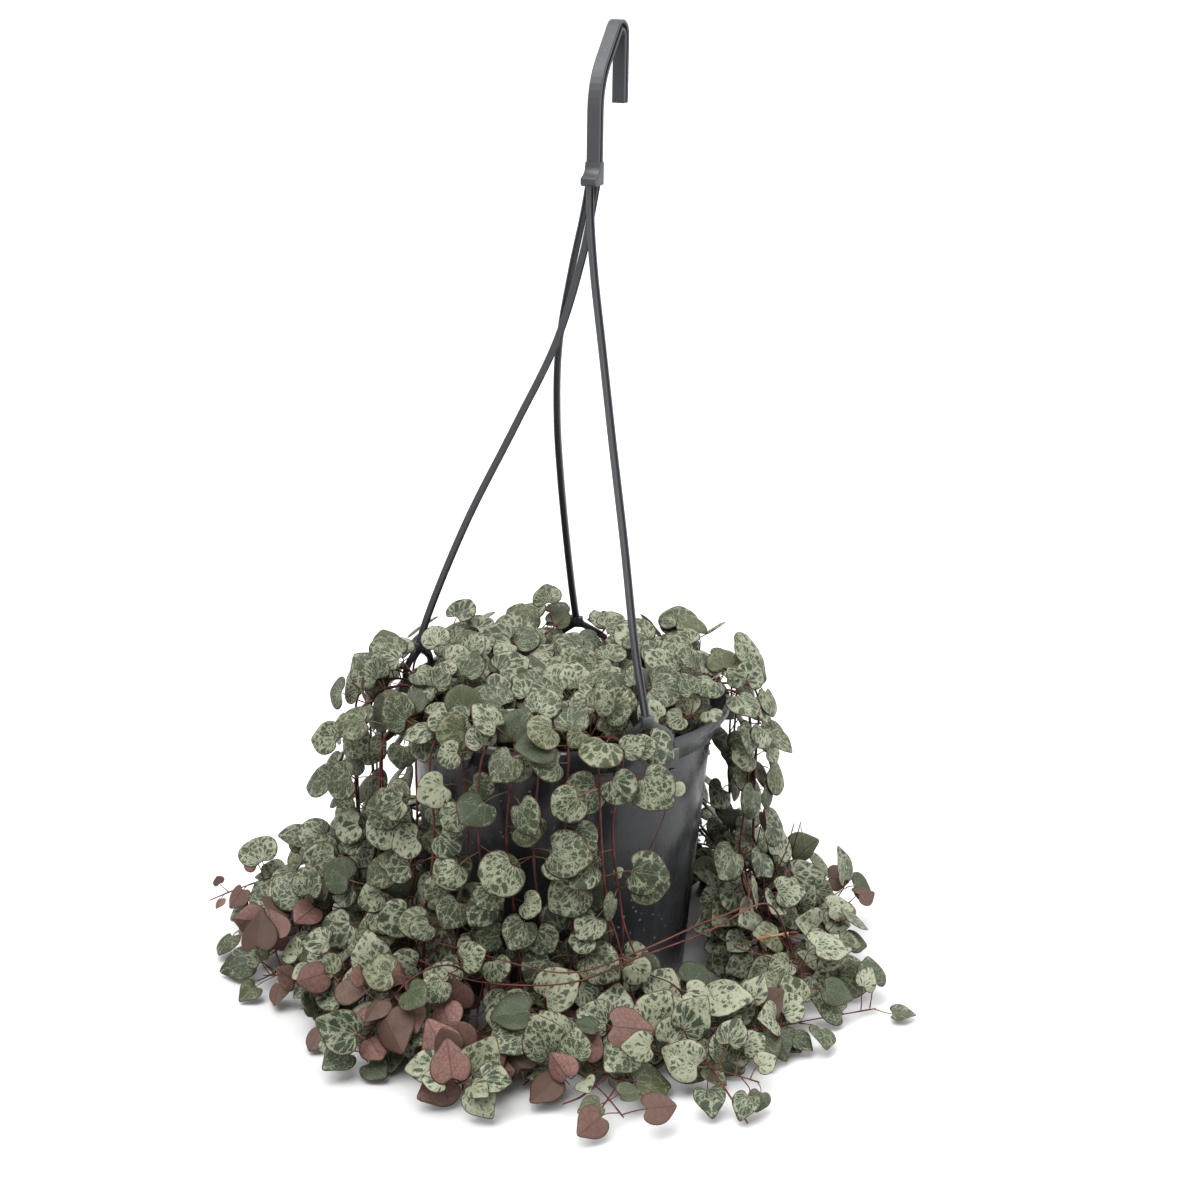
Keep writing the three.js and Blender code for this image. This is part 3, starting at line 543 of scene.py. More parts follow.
def to_piece(name: str, bm: BMesh, material: Material, crease: float | None = None) -> Object:
    """Turns a bmesh in millimetres into a piece at the origin, in metres.

    Args:
        name: The piece's name.
        bm: The bmesh, which is freed.
        material: Its material.
        crease: The angle past which an edge is shaded sharp.

    Returns:
        The piece.
    """
    bmesh.ops.scale(bm, vec=(MM, MM, MM), verts=bm.verts)
    mesh = as_mesh(bm, name)
    mesh.shade_smooth()
    if crease is not None:
        mesh.set_sharp_from_angle(angle=math.radians(crease))
    mesh.materials.append(material)
    return linked(name, mesh)


def seat(piece: Object, slot: str, *nodes: str) -> None:
    """Makes a piece part of the object.

    Args:
        piece: The piece.
        slot: Not used.
        nodes: The CAD nodes that it stands for.
    """
    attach(piece, "root")
    if nodes:
        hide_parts(*nodes)
    log.info("%s: %d faces", piece.name, len(piece.data.polygons))


def soften(bm: BMesh, edges: Sequence[BMEdge], width: float, segments: int = 2) -> None:
    """Rounds some edges over a width."""
    bmesh.ops.bevel(bm, geom=list(edges), offset=width, offset_type="OFFSET", segments=segments,
                    profile=0.5, affect="EDGES", material=-1, clamp_overlap=True)


def sharp_edges(bm: BMesh, least: float) -> list[BMEdge]:
    """The edges whose faces meet at more than an angle in degrees."""
    bm.normal_update()
    return [e for e in bm.edges if len(e.link_faces) == 2 and e.calc_face_angle(0.0) > math.radians(least)]


def turned(profile: Pairs, steps: int) -> BMesh:
    """Turns a profile once round the Z axis.

    Args:
        profile: Radii and heights.
        steps: How many parts the turn has.

    Returns:
        The closed mesh.
    """
    bm = bmesh.new()
    ring = [bm.verts.new((radius, 0.0, z)) for radius, z in profile]
    edges = [bm.edges.new(pair) for pair in zip(ring, ring[1:])]
    bmesh.ops.spin(bm, geom=ring + edges, cent=(0, 0, 0), axis=(0, 0, 1), angle=2 * math.pi, steps=steps,
                   use_merge=True, use_normal_flip=False, use_duplicate=False)
    bmesh.ops.remove_doubles(bm, verts=bm.verts, dist=MERGED)
    bmesh.ops.recalc_face_normals(bm, faces=bm.faces)
    return bm


def plate(corners: Sequence[Place], way: Place, rounding: float) -> BMesh:
    """Pushes a flat outline out into a plate with rounded edges.

    Args:
        corners: The outline.
        way: How far and which way it is pushed.
        rounding: How wide the rounding is.

    Returns:
        The closed mesh.
    """
    bm = bmesh.new()
    face = bm.faces.new([bm.verts.new(corner) for corner in corners])
    made = bmesh.ops.extrude_face_region(bm, geom=[face])["geom"]
    bmesh.ops.translate(bm, vec=way, verts=[g for g in made if isinstance(g, BMVert)])
    bmesh.ops.recalc_face_normals(bm, faces=bm.faces)
    soften(bm, sharp_edges(bm, 40), rounding)
    return bm


def swept(section: Pairs, frames: Sequence[Matrix]) -> BMesh:
    """Sweeps a closed section along a row of frames.

    Args:
        section: The section's corners in each frame's XY plane.
        frames: Where the section stands, one after the other.

    Returns:
        The closed mesh.
    """
    bm = bmesh.new()
    cap = bm.faces.new([bm.verts.new(frames[0] @ Vector((x, y, 0.0))) for x, y in section])
    for before, after in zip(frames, frames[1:]):
        made = bmesh.ops.extrude_face_region(bm, geom=[cap])["geom"]
        cap = next(g for g in made if isinstance(g, BMFace))
        moved = [g for g in made if isinstance(g, BMVert)]
        bmesh.ops.transform(bm, matrix=after @ before.inverted(), verts=moved)
    bmesh.ops.recalc_face_normals(bm, faces=bm.faces)
    return bm


def frames_along(line: Points, across: Array) -> list[Matrix]:
    """Frames on a line that turn no more than it does.

    Args:
        line: The line's points.
        across: The way that the frames' X starts.

    Returns:
        A frame for each point, with Z along the line.
    """
    frames = []
    for k, point in enumerate(line):
        ahead = unit(line[min(k + 1, len(line) - 1)] - line[max(k - 1, 0)])
        across = unit(across - ahead * float(across @ ahead))
        frames.append(basis(across, cross(ahead, across), ahead, point))
    return frames


def four_fold(quarter: Pairs) -> Pairs:
    """A closed section that is alike in all four quarters, from the corners of one of them."""
    top = [*quarter, *((-x, y) for x, y in reversed(quarter))]
    return [*top, *((-x, -y) for x, y in top)]

# The second colour is the pale of the dust and of the collar's painted sheen.

def block(size: Place, place: Matrix, rounding: float = 0.0) -> BMesh:
    # The second colour is the pale of the dust and of the painted sheen above the collar's height.
    """A box, given its sizes and where its middle stands.

    Args:
        size: Its three sizes.
        place: Where its middle stands.
        rounding: How wide its edges are rounded.

    Returns:
        The box.
    """
    bm = bmesh.new()
    bmesh.ops.create_cube(bm, size=1.0, matrix=place @ Matrix.Diagonal((*size, 1.0)))
    if rounding:
        soften(bm, bm.edges, rounding)
    return bm


def join_meshes(target: BMesh, *others: BMesh) -> BMesh:
    """Adds other meshes to a mesh and frees them.

    Args:
        target: The mesh that grows.
        others: The meshes that are added.

    Returns:
        The mesh that grew.
    """
    for other in others:
        scratch = as_mesh(other)
        target.from_mesh(scratch)
        bpy.data.meshes.remove(scratch)
    return target


def carved(bm: BMesh, tools: Sequence[tuple[str, BMesh]]) -> BMesh:
    """Joins solids to a mesh and cuts others from it.

    Args:
        bm: The mesh.
        tools: For each tool, UNION or DIFFERENCE and its mesh.

    Returns:
        The mesh that is left.
    """
    body = linked("scratch", as_mesh(bm))
    used = [body]
    for operation, tool in tools:
        cut = body.modifiers.new("cut", "BOOLEAN")
        cut.operation, cut.solver = operation, "EXACT"
        cut.object = linked("scratch", as_mesh(tool))
        used.append(cut.object)
    bpy.context.view_layer.update()
    evaluated = body.evaluated_get(bpy.context.evaluated_depsgraph_get())
    result = bmesh.new()
    result.from_mesh(evaluated.to_mesh())
    evaluated.to_mesh_clear()
    for shown in used:
        data = shown.data
        bpy.data.objects.remove(shown)
        bpy.data.meshes.remove(data)
    return result


# --- the pot ---


@dataclass
class Pot:
    """The moulded pot with its lipped collar, its lugs and its drain holes."""

    height: float = 120.0
    rim_radius: float = 70.0
    lip_height: float = 3.2
    collar_radius: float = 66.0
    collar_height: float = 10.8
    shoulder_radius: float = 62.6
    shoulder_rib: float = 0.35
    foot_radius: float = 53.4
    foot_chamfer: float = 1.4
    foot_ring: tuple[float, float] = (9.0, 0.6)
    wall: float = 1.6
    floor: float = 2.0
    step_height: float = 1.2
    steps: int = 112
    drain_holes: int = 6
    drain_radius: float = 4.0
    drain_circle: float = 37.0
    lug_count: int = 5
    lug_first_angle: float = -61.0
    lug_width: float = 28.0
    lug_height: float = 8.2
    lug_radius: float = 71.6
    lug_inset: float = 0.9
    lug_back: float = 66.6
    lug_overlap: float = 0.4
    slot_width: float = 3.2
    slot_depth: float = 2.4
    slot_inset: float = 2.6
    arch_span: float = 11.0
    crease: float = 28.0

    @property
    def collar_bottom(self) -> float:
        """The height of the collar's lower edge."""
        return self.height - self.collar_height

    @property
    def lug_top(self) -> float:
        """The height of the lugs' upper face."""
        return self.height - self.lip_height + self.lug_overlap

    @property
    def arch_plane(self) -> float:
        """The distance from the axis to the flat plane of an arch."""
        return math.sqrt((self.lug_radius - self.slot_inset) ** 2 - self.arch_span ** 2)

    def lug_angles(self) -> list[float]:
        """The angles of the lugs, in degrees."""
        return [self.lug_first_angle + 360 / self.lug_count * k for k in range(self.lug_count)]

    def wall_radius(self, z: float | Array) -> float | Array:
        """The wall's outer radius at a height below the collar."""
        return self.foot_radius + (self.shoulder_radius - self.foot_radius) * z / self.collar_bottom

    def _profile(self) -> Pairs:
        """The section of the pot from the middle of its underside round to the middle of its floor.

        Returns:
            Radii and heights.
        """
        under_lip = self.height - self.lip_height
        bottom, rib = self.collar_bottom, self.shoulder_rib
        ring, hollow = self.foot_ring
        return [
            (0.0, hollow),
            (self.drain_circle + ring, hollow),
            (self.drain_circle + ring + 0.8, 0.0),
            (self.foot_radius - self.foot_chamfer, 0.0),
            (self.wall_radius(self.foot_chamfer), self.foot_chamfer),
            (self.wall_radius(bottom - 2.2), bottom - 2.2),
            (self.wall_radius(bottom - 2.0) + rib, bottom - 2.0),
            (self.shoulder_radius + rib, bottom - 0.9),
            (self.collar_radius - 0.4, bottom - 0.1),
            (self.collar_radius, bottom + 0.5),
            (self.rim_radius - 1.1, under_lip - 0.25),
            (self.rim_radius - 0.1, under_lip),
            (self.rim_radius, under_lip + 0.5),
            (self.rim_radius, self.height - 0.7),
            (self.rim_radius - 0.7, self.height),
            (self.rim_radius - 2.0, self.height),
            (self.rim_radius - 2.9, under_lip),
            (self.collar_radius - self.wall, bottom + self.step_height),
            (self.wall_radius(bottom) - self.wall, bottom),
            (self.wall_radius(self.floor) - self.wall - 1.0, self.floor + 0.3),
            (self.wall_radius(self.floor) - self.wall - 2.0, self.floor),
            (0.0, self.floor),
        ]

    def _lug(self, angle: float) -> BMesh:
        """One lug at an angle, as a softened block on the collar.

        Args:
            angle: The angle in degrees.

        Returns:
            The lug.
        """
        depth = self.lug_radius - self.lug_inset - self.lug_back
        middle = Matrix.Translation((self.lug_back + depth / 2, 0.0, self.lug_top - self.lug_height / 2))
        return block((depth, self.lug_width, self.lug_height), turned_to(angle) @ middle, 0.5)

    def _slots(self, angle: float) -> BMesh:
        """The two slots of a lug that the legs of an arch stand in.

        Args:
            angle: The lug's angle in degrees.

        Returns:
            The solid to cut away.
        """
        size = (self.slot_depth, self.slot_width, 4 * self.lug_height)
        places = [Matrix.Translation((self.arch_plane, side * self.arch_span, self.height)) for side in (-1, 1)]
        return join_meshes(bmesh.new(), *(block(size, turned_to(angle) @ place) for place in places))

    def _drain(self, index: int) -> BMesh:
        """One drain hole, by its number.

        Args:
            index: Its number.

        Returns:
            The solid to cut away.
        """
        bm = bmesh.new()
        place = polar(360 / self.drain_holes * (index + 0.5), self.drain_circle, self.floor / 2)
        bmesh.ops.create_cone(bm, cap_ends=True, segments=24, radius1=self.drain_radius, radius2=self.drain_radius,
                              depth=4 * self.floor, matrix=Matrix.Translation(place))
        return bm

    def build(self, finish: PlasticFinish) -> None:
        """Builds and dresses the pot.

        Args:
            finish: Its plastic.
        """
        tools = [("UNION", self._lug(angle)) for angle in self.lug_angles()]
        tools += [("DIFFERENCE", self._slots(angle)) for angle in self.lug_angles()]
        tools += [("DIFFERENCE", self._drain(k)) for k in range(self.drain_holes)]
        body = carved(turned(self._profile(), self.steps), tools)
        seat(to_piece("pot_shell", body, finish.material(), self.crease), "pot_plastic", "pot")


# --- the hanger ---


def centripetal(points: Points, steps: int) -> Route:
    """Points on the centripetal Catmull-Rom curve through given points.

    Args:
        points: The points that the curve passes through.
        steps: How many parts each span has.

    Returns:
        The curve's points.
    """
    ends = [2 * points[0] - points[1], *points, 2 * points[-1] - points[-2]]
    line = []
    for k in range(len(points) - 1):
        a, b, c, d = ends[k:k + 4]
        before, span, after = (math.sqrt(distance(*pair)) for pair in ((a, b), (b, c), (c, d)))
        start = ((b - a) / before - (c - a) / (before + span) + (c - b) / span) * span
        end = ((c - b) / span - (d - b) / (span + after) + (d - c) / after) * span
        for part in range(steps):
            t = part / steps
            cubic = (2 * b - 2 * c + start + end) * t ** 3 + (3 * c - 3 * b - 2 * start - end) * t ** 2
            line.append(cubic + start * t + b)
    return [*line, points[-1]]


@dataclass
class Hanger:
    """The plastic hook, its foot, the three channelled strands and their arches."""

    pot: Pot
    foot_x: float = 10.0
    foot_bottom: float = 329.6
    foot_height: float = 9.0
    foot_width: float = 6.4
    foot_toe: float = 7.0
    strand_width: float = 2.7
    strand_depth: float = 2.5
    strand_steps: int = 9
    groove_width: float = 1.1
    groove_depth: float = 0.7
    arch_rise: float = 7.0
    leans: tuple[float, ...] = (0.0, 2.4, 0.0)
    used: tuple[int, ...] = (0, 2, 3)
    leg_width: float = 2.6
    leg_depth: float = 1.8
    leg_top: float = 1.6
    toe: float = 1.9
    toe_height: float = 1.5
    apex_width: float = 6.4
    apex_height: float = 3.5
    apex_block: Place = (3.4, 5.4, 4.1)
    gap: float = 0.3
    hook_angle: float = 68.0
    hook_top: float = 391.3
    hook_span: float = 26.4
    hook_slope: float = 46.0
    hook_bends: tuple[float, float] = (26.0, 4.4)
    hook_tip: float = 359.0
    hook_depth: float = 4.4
    hook_width: float = 5.4
    flange: float = 1.4
    web: float = 1.8
    bevel: float = 0.3
    crease: float = 30.0
    routes: tuple[tuple[Place, ...], ...] = (
        ((8.4, -1.6, 333), (8.6, -1.2, 318), (10.3, -5, 297), (14.2, -13.2, 266), (18.4, -25, 233),
         (23.4, -39.4, 196), (28.2, -52.8, 157)),
        ((8.4, 1.8, 333), (6.4, 2, 320), (1.4, 6.4, 294), (-3, 15, 264), (-3.6, 28, 233), (-1.6, 43.4, 199),
         (3.3, 61.4, 150)),
        ((11.4, 0.2, 333), (9.6, 0.8, 322), (6, 2, 302), (-3.9, 5.9, 267), (-20.2, 12.3, 231),
         (-40.4, 20.4, 188), (-56.4, 26.2, 147)),
    )

    def used_angles(self) -> list[float]:
        """The angles of the lugs that carry arches."""
        return [self.pot.lug_angles()[k] for k in self.used]

    @property
    def toe_bottom(self) -> float:
        """The height of the underside of the arches' toes."""
        return self.pot.lug_top - self.pot.lug_height - self.gap - self.toe_height

    def strand_points(self, index: int) -> Route:
        """The points of a strand's route, down into the block on its arch.

        Args:
            index: The strand's number.

        Returns:
            The points.
        """
        angle = self.used_angles()[index]
        apex = self.pot.height + self.arch_rise + self.leg_width
        end = polar(angle, self.pot.arch_plane, apex) + polar(angle + 90, self.leans[index], 0.0)
        return [*(np.array(p, float) for p in self.routes[index]), end]

    def _strand(self, index: int) -> BMesh:
        """One strand, a flat bar with a groove along its outer and its inner face.

        Args:
            index: Its number.

        Returns:
            The strand.
        """
        half, deep, lip = self.strand_width / 2, self.strand_depth / 2, self.groove_width / 2
        quarter = [(half, deep - self.bevel), (half - self.bevel, deep), (lip + 0.15, deep)]
        section = four_fold([*quarter, (lip, deep - self.groove_depth)])
        line = centripetal(self.strand_points(index), self.strand_steps)
        return swept(section, frames_along(line, polar(self.used_angles()[index] + 90, 1.0, 0.0)))

    def _outline(self, lean: float) -> Pairs:
        """The outline of an arch in its own plane, with the rim at height zero.

        Args:
            lean: How far its apex leans aside.

        Returns:
            The corners.
        """
        span, rise, leg_top = self.pot.arch_span, self.arch_rise, self.leg_top
        outer, inner, half = span + self.leg_width / 2, span - self.leg_width / 2, self.apex_width / 2
        foot = self.toe_bottom - self.pot.height
        right = [
            (half - 0.5, rise + self.apex_height),
            (half, rise + self.leg_width - 0.2),
            (outer - 2.9, rise - 1.3),
            (outer - 1.0, rise - 3.2),
            (outer, leg_top),
            (outer, foot),
            (inner, foot),
            (inner, leg_top - 0.4),
            (inner - 0.8, rise - 4.9),
            (inner - 3.0, rise - 3.0),
            (1.6, rise),
        ]
        whole = [*right, *((-x, y) for x, y in reversed(right))]
        height = rise + self.apex_height - leg_top
        return [(x + lean * max(0.0, y - leg_top) / height, y) for x, y in whole]

    def _arch(self, index: int) -> BMesh:
        """One wishbone arch with its two toes.

        Args:
            index: Its number.

        Returns:
            The arch.
        """
        lean, rim = self.leans[index], self.pot.height
        back = self.pot.arch_plane - self.leg_depth / 2
        corners = [(back, x, rim + y) for x, y in self._outline(lean)]
        bm = plate(corners, (self.leg_depth, 0, 0), 0.28)
        size = (self.leg_depth + self.toe, self.leg_width, self.toe_height)
        for side in (-1, 1):
            middle = (back + size[0] / 2, side * self.pot.arch_span, self.toe_bottom + self.toe_height / 2)
            join_meshes(bm, block(size, Matrix.Translation(middle), 0.25))
        middle = (self.pot.arch_plane, lean, rim + self.arch_rise + self.leg_width + 0.2)
        join_meshes(bm, block(self.apex_block, Matrix.Translation(middle), 0.5))
        bmesh.ops.transform(bm, matrix=turned_to(self.used_angles()[index]), verts=bm.verts)
        return bm

    def _hook_line(self) -> Route:
        """The middle line of the hook in its own plane: up the stem, along a slope, over the top and down.

        Returns:
            The line's points.
        """
        out_of_stem, over_top = self.hook_bends
        slope = math.radians(self.hook_slope)
        sine, cosine = math.sin(slope), math.cos(slope)
        top = np.array([self.hook_span - over_top, 0.0, self.hook_top - self.hook_depth / 2 - over_top])
        run = top[0] - over_top * sine - out_of_stem * (1 - sine)
        low = np.array([out_of_stem, 0.0, top[2] + (over_top - out_of_stem) * cosine - run * sine / cosine])
        start, tip = np.array([0.0, 0.0, self.foot_bottom + 3]), np.array([self.hook_span, 0.0, self.hook_tip])
        steep = 90 + self.hook_slope
        bends = []
        for middle, radius, turns in ((low, out_of_stem, np.linspace(180, steep, 9)),
                                      (top, over_top, np.linspace(steep, 0, 17))):
            for turn in np.radians(turns):
                bends.append(middle + radius * np.array([math.cos(turn), 0.0, math.sin(turn)]))
        return [start, (start + bends[0]) / 2, *bends, (bends[-1] + tip) / 2, tip]

    def _hook(self) -> BMesh:
        """The hook, a bar of I section whose flanges face forwards and backwards.

        Returns:
            The hook in its own plane.
        """
        half, deep, bevel = self.hook_width / 2, self.hook_depth / 2, self.bevel
        floor = deep - self.flange
        section = four_fold([(deep, half - bevel), (deep - bevel, half), (floor + bevel, half),
                             (floor, half - bevel), (floor - 0.1, self.web / 2)])
        return swept(section, frames_along(self._hook_line(), np.array([1.0, 0.0, 0.0])))

    def _foot(self) -> BMesh:
        """The foot of the hook: its end curves forwards into a toe, and the strands leave from below it.

        Returns:
            The foot in the hook's plane.
        """
        half, toe, height = self.hook_depth / 2, self.foot_toe, self.foot_height
        profile = [(half, 0.0), (half, height), (-half, height), (-half - 0.1, height - 1.4),
                   (-half - 0.5, height - 2.8), (-half - 1.3, height - 4.0), (-half - 2.5, height - 4.9),
                   (-toe + 0.7, height - 5.4), (-toe + 0.1, height - 6.0), (-toe, height - 6.8),
                   (-toe + 0.1, 0.9), (-toe + 0.9, 0.0)]
        corners = [(x, -self.foot_width / 2, self.foot_bottom + z) for x, z in profile]
        return plate(corners, (0, self.foot_width, 0), 0.35)

    def build(self, finish: PlasticFinish) -> None:
        """Builds and dresses the hanger.

        Args:
            finish: Its plastic.
        """
        bm = join_meshes(bmesh.new(), self._hook(), self._foot())
        place = Matrix.Translation((self.foot_x, 0, 0)) @ turned_to(self.hook_angle)
        bmesh.ops.transform(bm, matrix=place, verts=bm.verts)
        for index in range(len(self.used)):
            join_meshes(bm, self._arch(index), self._strand(index))
        seat(to_piece("hanger_frame", bm, finish.material(), self.crease), "hanger_plastic", "hanger")


# --- the compost ---


@dataclass
class Compost:
    """The compost that fills the pot, with a crumbled top."""

    pot: Pot
    top: float = 104.0
    relief: float = 1.5
    rings: int = 26
    steps: int = 96
    crumbs: int = 260
    seed: int = 411

    def build(self, finish: CompostFinish) -> None:
        """Builds and dresses the compost.

        Args:
            finish: Its material.
        """
        edge = self.pot.wall_radius(self.top) - self.pot.wall - 0.3
        low = self.pot.wall_radius(self.pot.floor) - self.pot.wall - 2.6
        profile = [(0.0, self.pot.floor + 0.3), (low, self.pot.floor + 0.3), (edge - 0.4, self.top - 1.4)]
        profile += [(edge * (1 - k / self.rings), self.top - 0.4) for k in range(self.rings + 1)]
        bm = turned(profile, self.steps)
        for vert in bm.verts:
            if vert.co.z > self.top - 1:
                swell = noise.fractal(vert.co * 0.11, 0.6, 2.0, 4) + 0.5 * noise.noise(vert.co * 0.5)
                vert.co.z += self.relief * max(-1.0, min(0.7, swell))
        self._scatter(bm, edge)
        seat(to_piece("compost_fill", bm, finish.material()), "soil", "soil")

    def _scatter(self, bm: BMesh, edge: float) -> None:
        """Sinks crumbs into the top.

        Args:
            bm: The compost.
            edge: The radius of its top.
        """
        random = Seeded(self.seed)
        for _ in range(self.crumbs):
            radius = (edge - 3) * math.sqrt(random())
            place = Matrix.Translation(polar(360 * random(), radius, self.top + random.vary(0.5) - 0.3))
            size = random.between(0.6, 2.0)
            shape = (size, size * random.between(0.6, 1.3), size * random.between(0.4, 0.8), 1.0)
            turn = Matrix.Rotation(6.3 * random(), 4, "Z") @ Matrix.Rotation(random.vary(0.6), 4, "X")
            matrix = place @ turn @ Matrix.Diagonal(shape)
            bmesh.ops.create_icosphere(bm, subdivisions=1, radius=1.0, matrix=matrix)


# --- room for the plant ---


def spokes(count: int, first: int) -> Array:
    """Evenly spread level directions, counted from one of them."""
    turns = 2 * math.pi * (np.arange(count) + first) / count
    return np.stack([np.cos(turns), np.sin(turns)], axis=1)


SPOKES = np.concatenate([np.zeros((1, 2)), spokes(6, 0) * 0.5, spokes(12, 6)])


@dataclass
class Disc:
    """The flat disc that covers a leaf's blade."""

    centre: Array
    normal: Array
    axis: Array
    radius: float

    def __post_init__(self) -> None:
        """Finds the way across the blade."""
        self.side = cross(self.axis, self.normal)

    def samples(self) -> Array:
        """The middle, six points half way out and twelve on the edge."""
        reach = SPOKES * self.radius
        return self.centre + reach[:, :1] * self.axis + reach[:, 1:] * self.side


def spaced(line: Points, step: float) -> Array:
    """Points along a broken line.

    Args:
        line: The line's corners.
        step: About how far apart the points are on each straight.

    Returns:
        The points, one in each row.
    """
    points = [line[0]]
    for before, after in zip(line, line[1:]):
        parts = max(1, math.floor(distance(before, after) / step + 0.5))
        points += [before + (after - before) * (part / parts) for part in range(1, parts + 1)]
    return np.array(points)


def boxed(points: Array, samples: Array, reach: float) -> Array:
    """Which of the points lie within a reach of the box round the samples."""
    return np.all((points > samples.min(0) - reach) & (points < samples.max(0) + reach), axis=1)


def to_disc(offsets: Array, normals: Array, radii: Array | float) -> Array:
    """Distances from points to discs.

    Args:
        offsets: The points, seen from the discs' centres.
        normals: The discs' normals.
        radii: The discs' radii.

    Returns:
        The distances.
    """
    along = np.sum(offsets * normals, axis=-1)
    across = np.sqrt(np.maximum(0.0, np.sum(offsets * offsets, axis=-1) - along * along)) - radii
    return np.where(across <= 0, np.abs(along), np.hypot(along, across))


@dataclass
class Room:
    """Keeps what has been placed: the stems as points with a radius, and the blades as discs."""

    pot: Pot
    soil_top: float
    spacing: float = 2.0
    below_lugs: float = 4.0
    clearance: float = 0.35
    slab: float = 0.75
    own_reach: float = 5.0
    stem_reach: float = 6.0
    stem_margin: float = 4.0
    blade_reach: float = 20.0
    most_points: int = 60000
    most_discs: int = 3000
    count: int = 0
    disc_count: int = 0

    def __post_init__(self) -> None:
        """Makes the tables for the stems' points and for the blades."""
        points, discs = self.most_points, self.most_discs
        self.points, self.radii, self.owners = np.zeros((points, 3)), np.zeros(points), np.zeros(points, int)
        self.centres, self.normals, self.reaches = np.zeros((discs, 3)), np.zeros((discs, 3)), np.zeros(discs)
        self.edges = np.zeros((discs, len(SPOKES), 3))

    def add_line(self, line: Points, radius: float, owner: int) -> None:
        """Keeps a line.

        Args:
            line: Its points.
            radius: Its radius.
            owner: The number of the stem that it belongs to.
        """
        found = spaced(line, self.spacing)
        added = slice(self.count, self.count + len(found))
        self.points[added], self.radii[added], self.owners[added] = found, radius, owner
        self.count = added.stop

    def add_disc(self, disc: Disc) -> None:
        """Keeps a blade.

        Args:
            disc: Its disc.
        """
        k = self.disc_count
        self.centres[k], self.normals[k], self.reaches[k] = disc.centre, disc.normal, disc.radius
        self.edges[k] = disc.samples()
        self.disc_count = k + 1

    def loosen(self, share: float, slab: float) -> None:
        """Lets what comes after stand closer, since a blade is smaller than the disc that covers it.

        Args:
            share: The share of their radius that the discs keep.
            slab: Half the distance that blades keep from each other.
        """
        kept = slice(self.disc_count)
        self.reaches[kept] *= share
        centres = self.centres[kept, None]
        self.edges[kept] = centres + (self.edges[kept] - centres) * share
        self.slab = slab

    def off_pot(self, points: Array, margin: float) -> bool:
        """Tells whether points are outside the pot's wall and above the soil and the ground.

        Args:
            points: The points.
            margin: How far they have to be off.

        Returns:
            True if every point is.
        """
        pot, z = self.pot, points[:, 2]
        radius = np.hypot(points[:, 0], points[:, 1])
        outside = np.where(z > pot.collar_bottom - self.below_lugs, pot.lug_radius, pot.wall_radius(z))
        above_step = z > pot.collar_bottom + pot.step_height
        inside = np.where(above_step, pot.collar_radius, pot.wall_radius(self.soil_top)) - pot.wall
        within = (radius < inside - margin) & (z > self.soil_top + margin)
        clear = (z > pot.height + margin) | (radius > outside + margin) | within
        return bool(np.all(clear & (z >= margin)))

    def line_free(self, line: Points, radius: float, owner: int, first: int = 0) -> bool:
        """Tells whether a line stays clear of the stems of other owners, and of every blade.

        Args:
            line: The line's points.
            radius: Its radius.
            owner: The number of its stem.
            first: How many of the points along it are left out at its start.

        Returns:
            True if it does.
        """
        samples = spaced(line, self.spacing)[first:]
        points, kept = self.points[:self.count], slice(self.disc_count)
        near = boxed(points, samples, self.stem_reach) & (self.owners[:self.count] != owner)
        if near.any():
            offsets = points[near][None] - samples[:, None]
            least = radius + self.radii[:self.count][near] + self.clearance
            if np.any(np.sum(offsets * offsets, axis=-1) < least * least):
                return False
        close = boxed(self.centres[kept], samples, self.blade_reach)
        if not close.any():
            return True
        offsets = samples[:, None] - self.centres[kept][close][None]
        gaps = to_disc(offsets, self.normals[kept][close], self.reaches[kept][close])
        return not bool(np.any(gaps < radius + self.slab))

    def disc_free(self, disc: Disc, owner: int, root: Array) -> bool:
        """Tells whether a blade stays clear of the pot, the ground, the stems and the other blades.

        Args:
            disc: The blade's disc.
            owner: The number of its stem.
            root: Where its stalk leaves the stem.

        Returns:
            True if it does.
        """
        own_edges = disc.samples()
        if not self.off_pot(own_edges, self.slab):
            return False
        offsets = self.points[:self.count] - disc.centre
        near = np.sum(offsets * offsets, axis=1) < (disc.radius + self.stem_margin) ** 2
        if near.any():
            from_root = self.points[:self.count][near] - root
            own = self.owners[:self.count][near] == owner
            own &= np.sum(from_root * from_root, axis=1) < self.own_reach ** 2
            gaps = to_disc(offsets[near], disc.normal, disc.radius)
            if np.any(~own & (gaps < self.radii[:self.count][near] + self.slab)):
                return False
        return not self._meets(disc, own_edges)

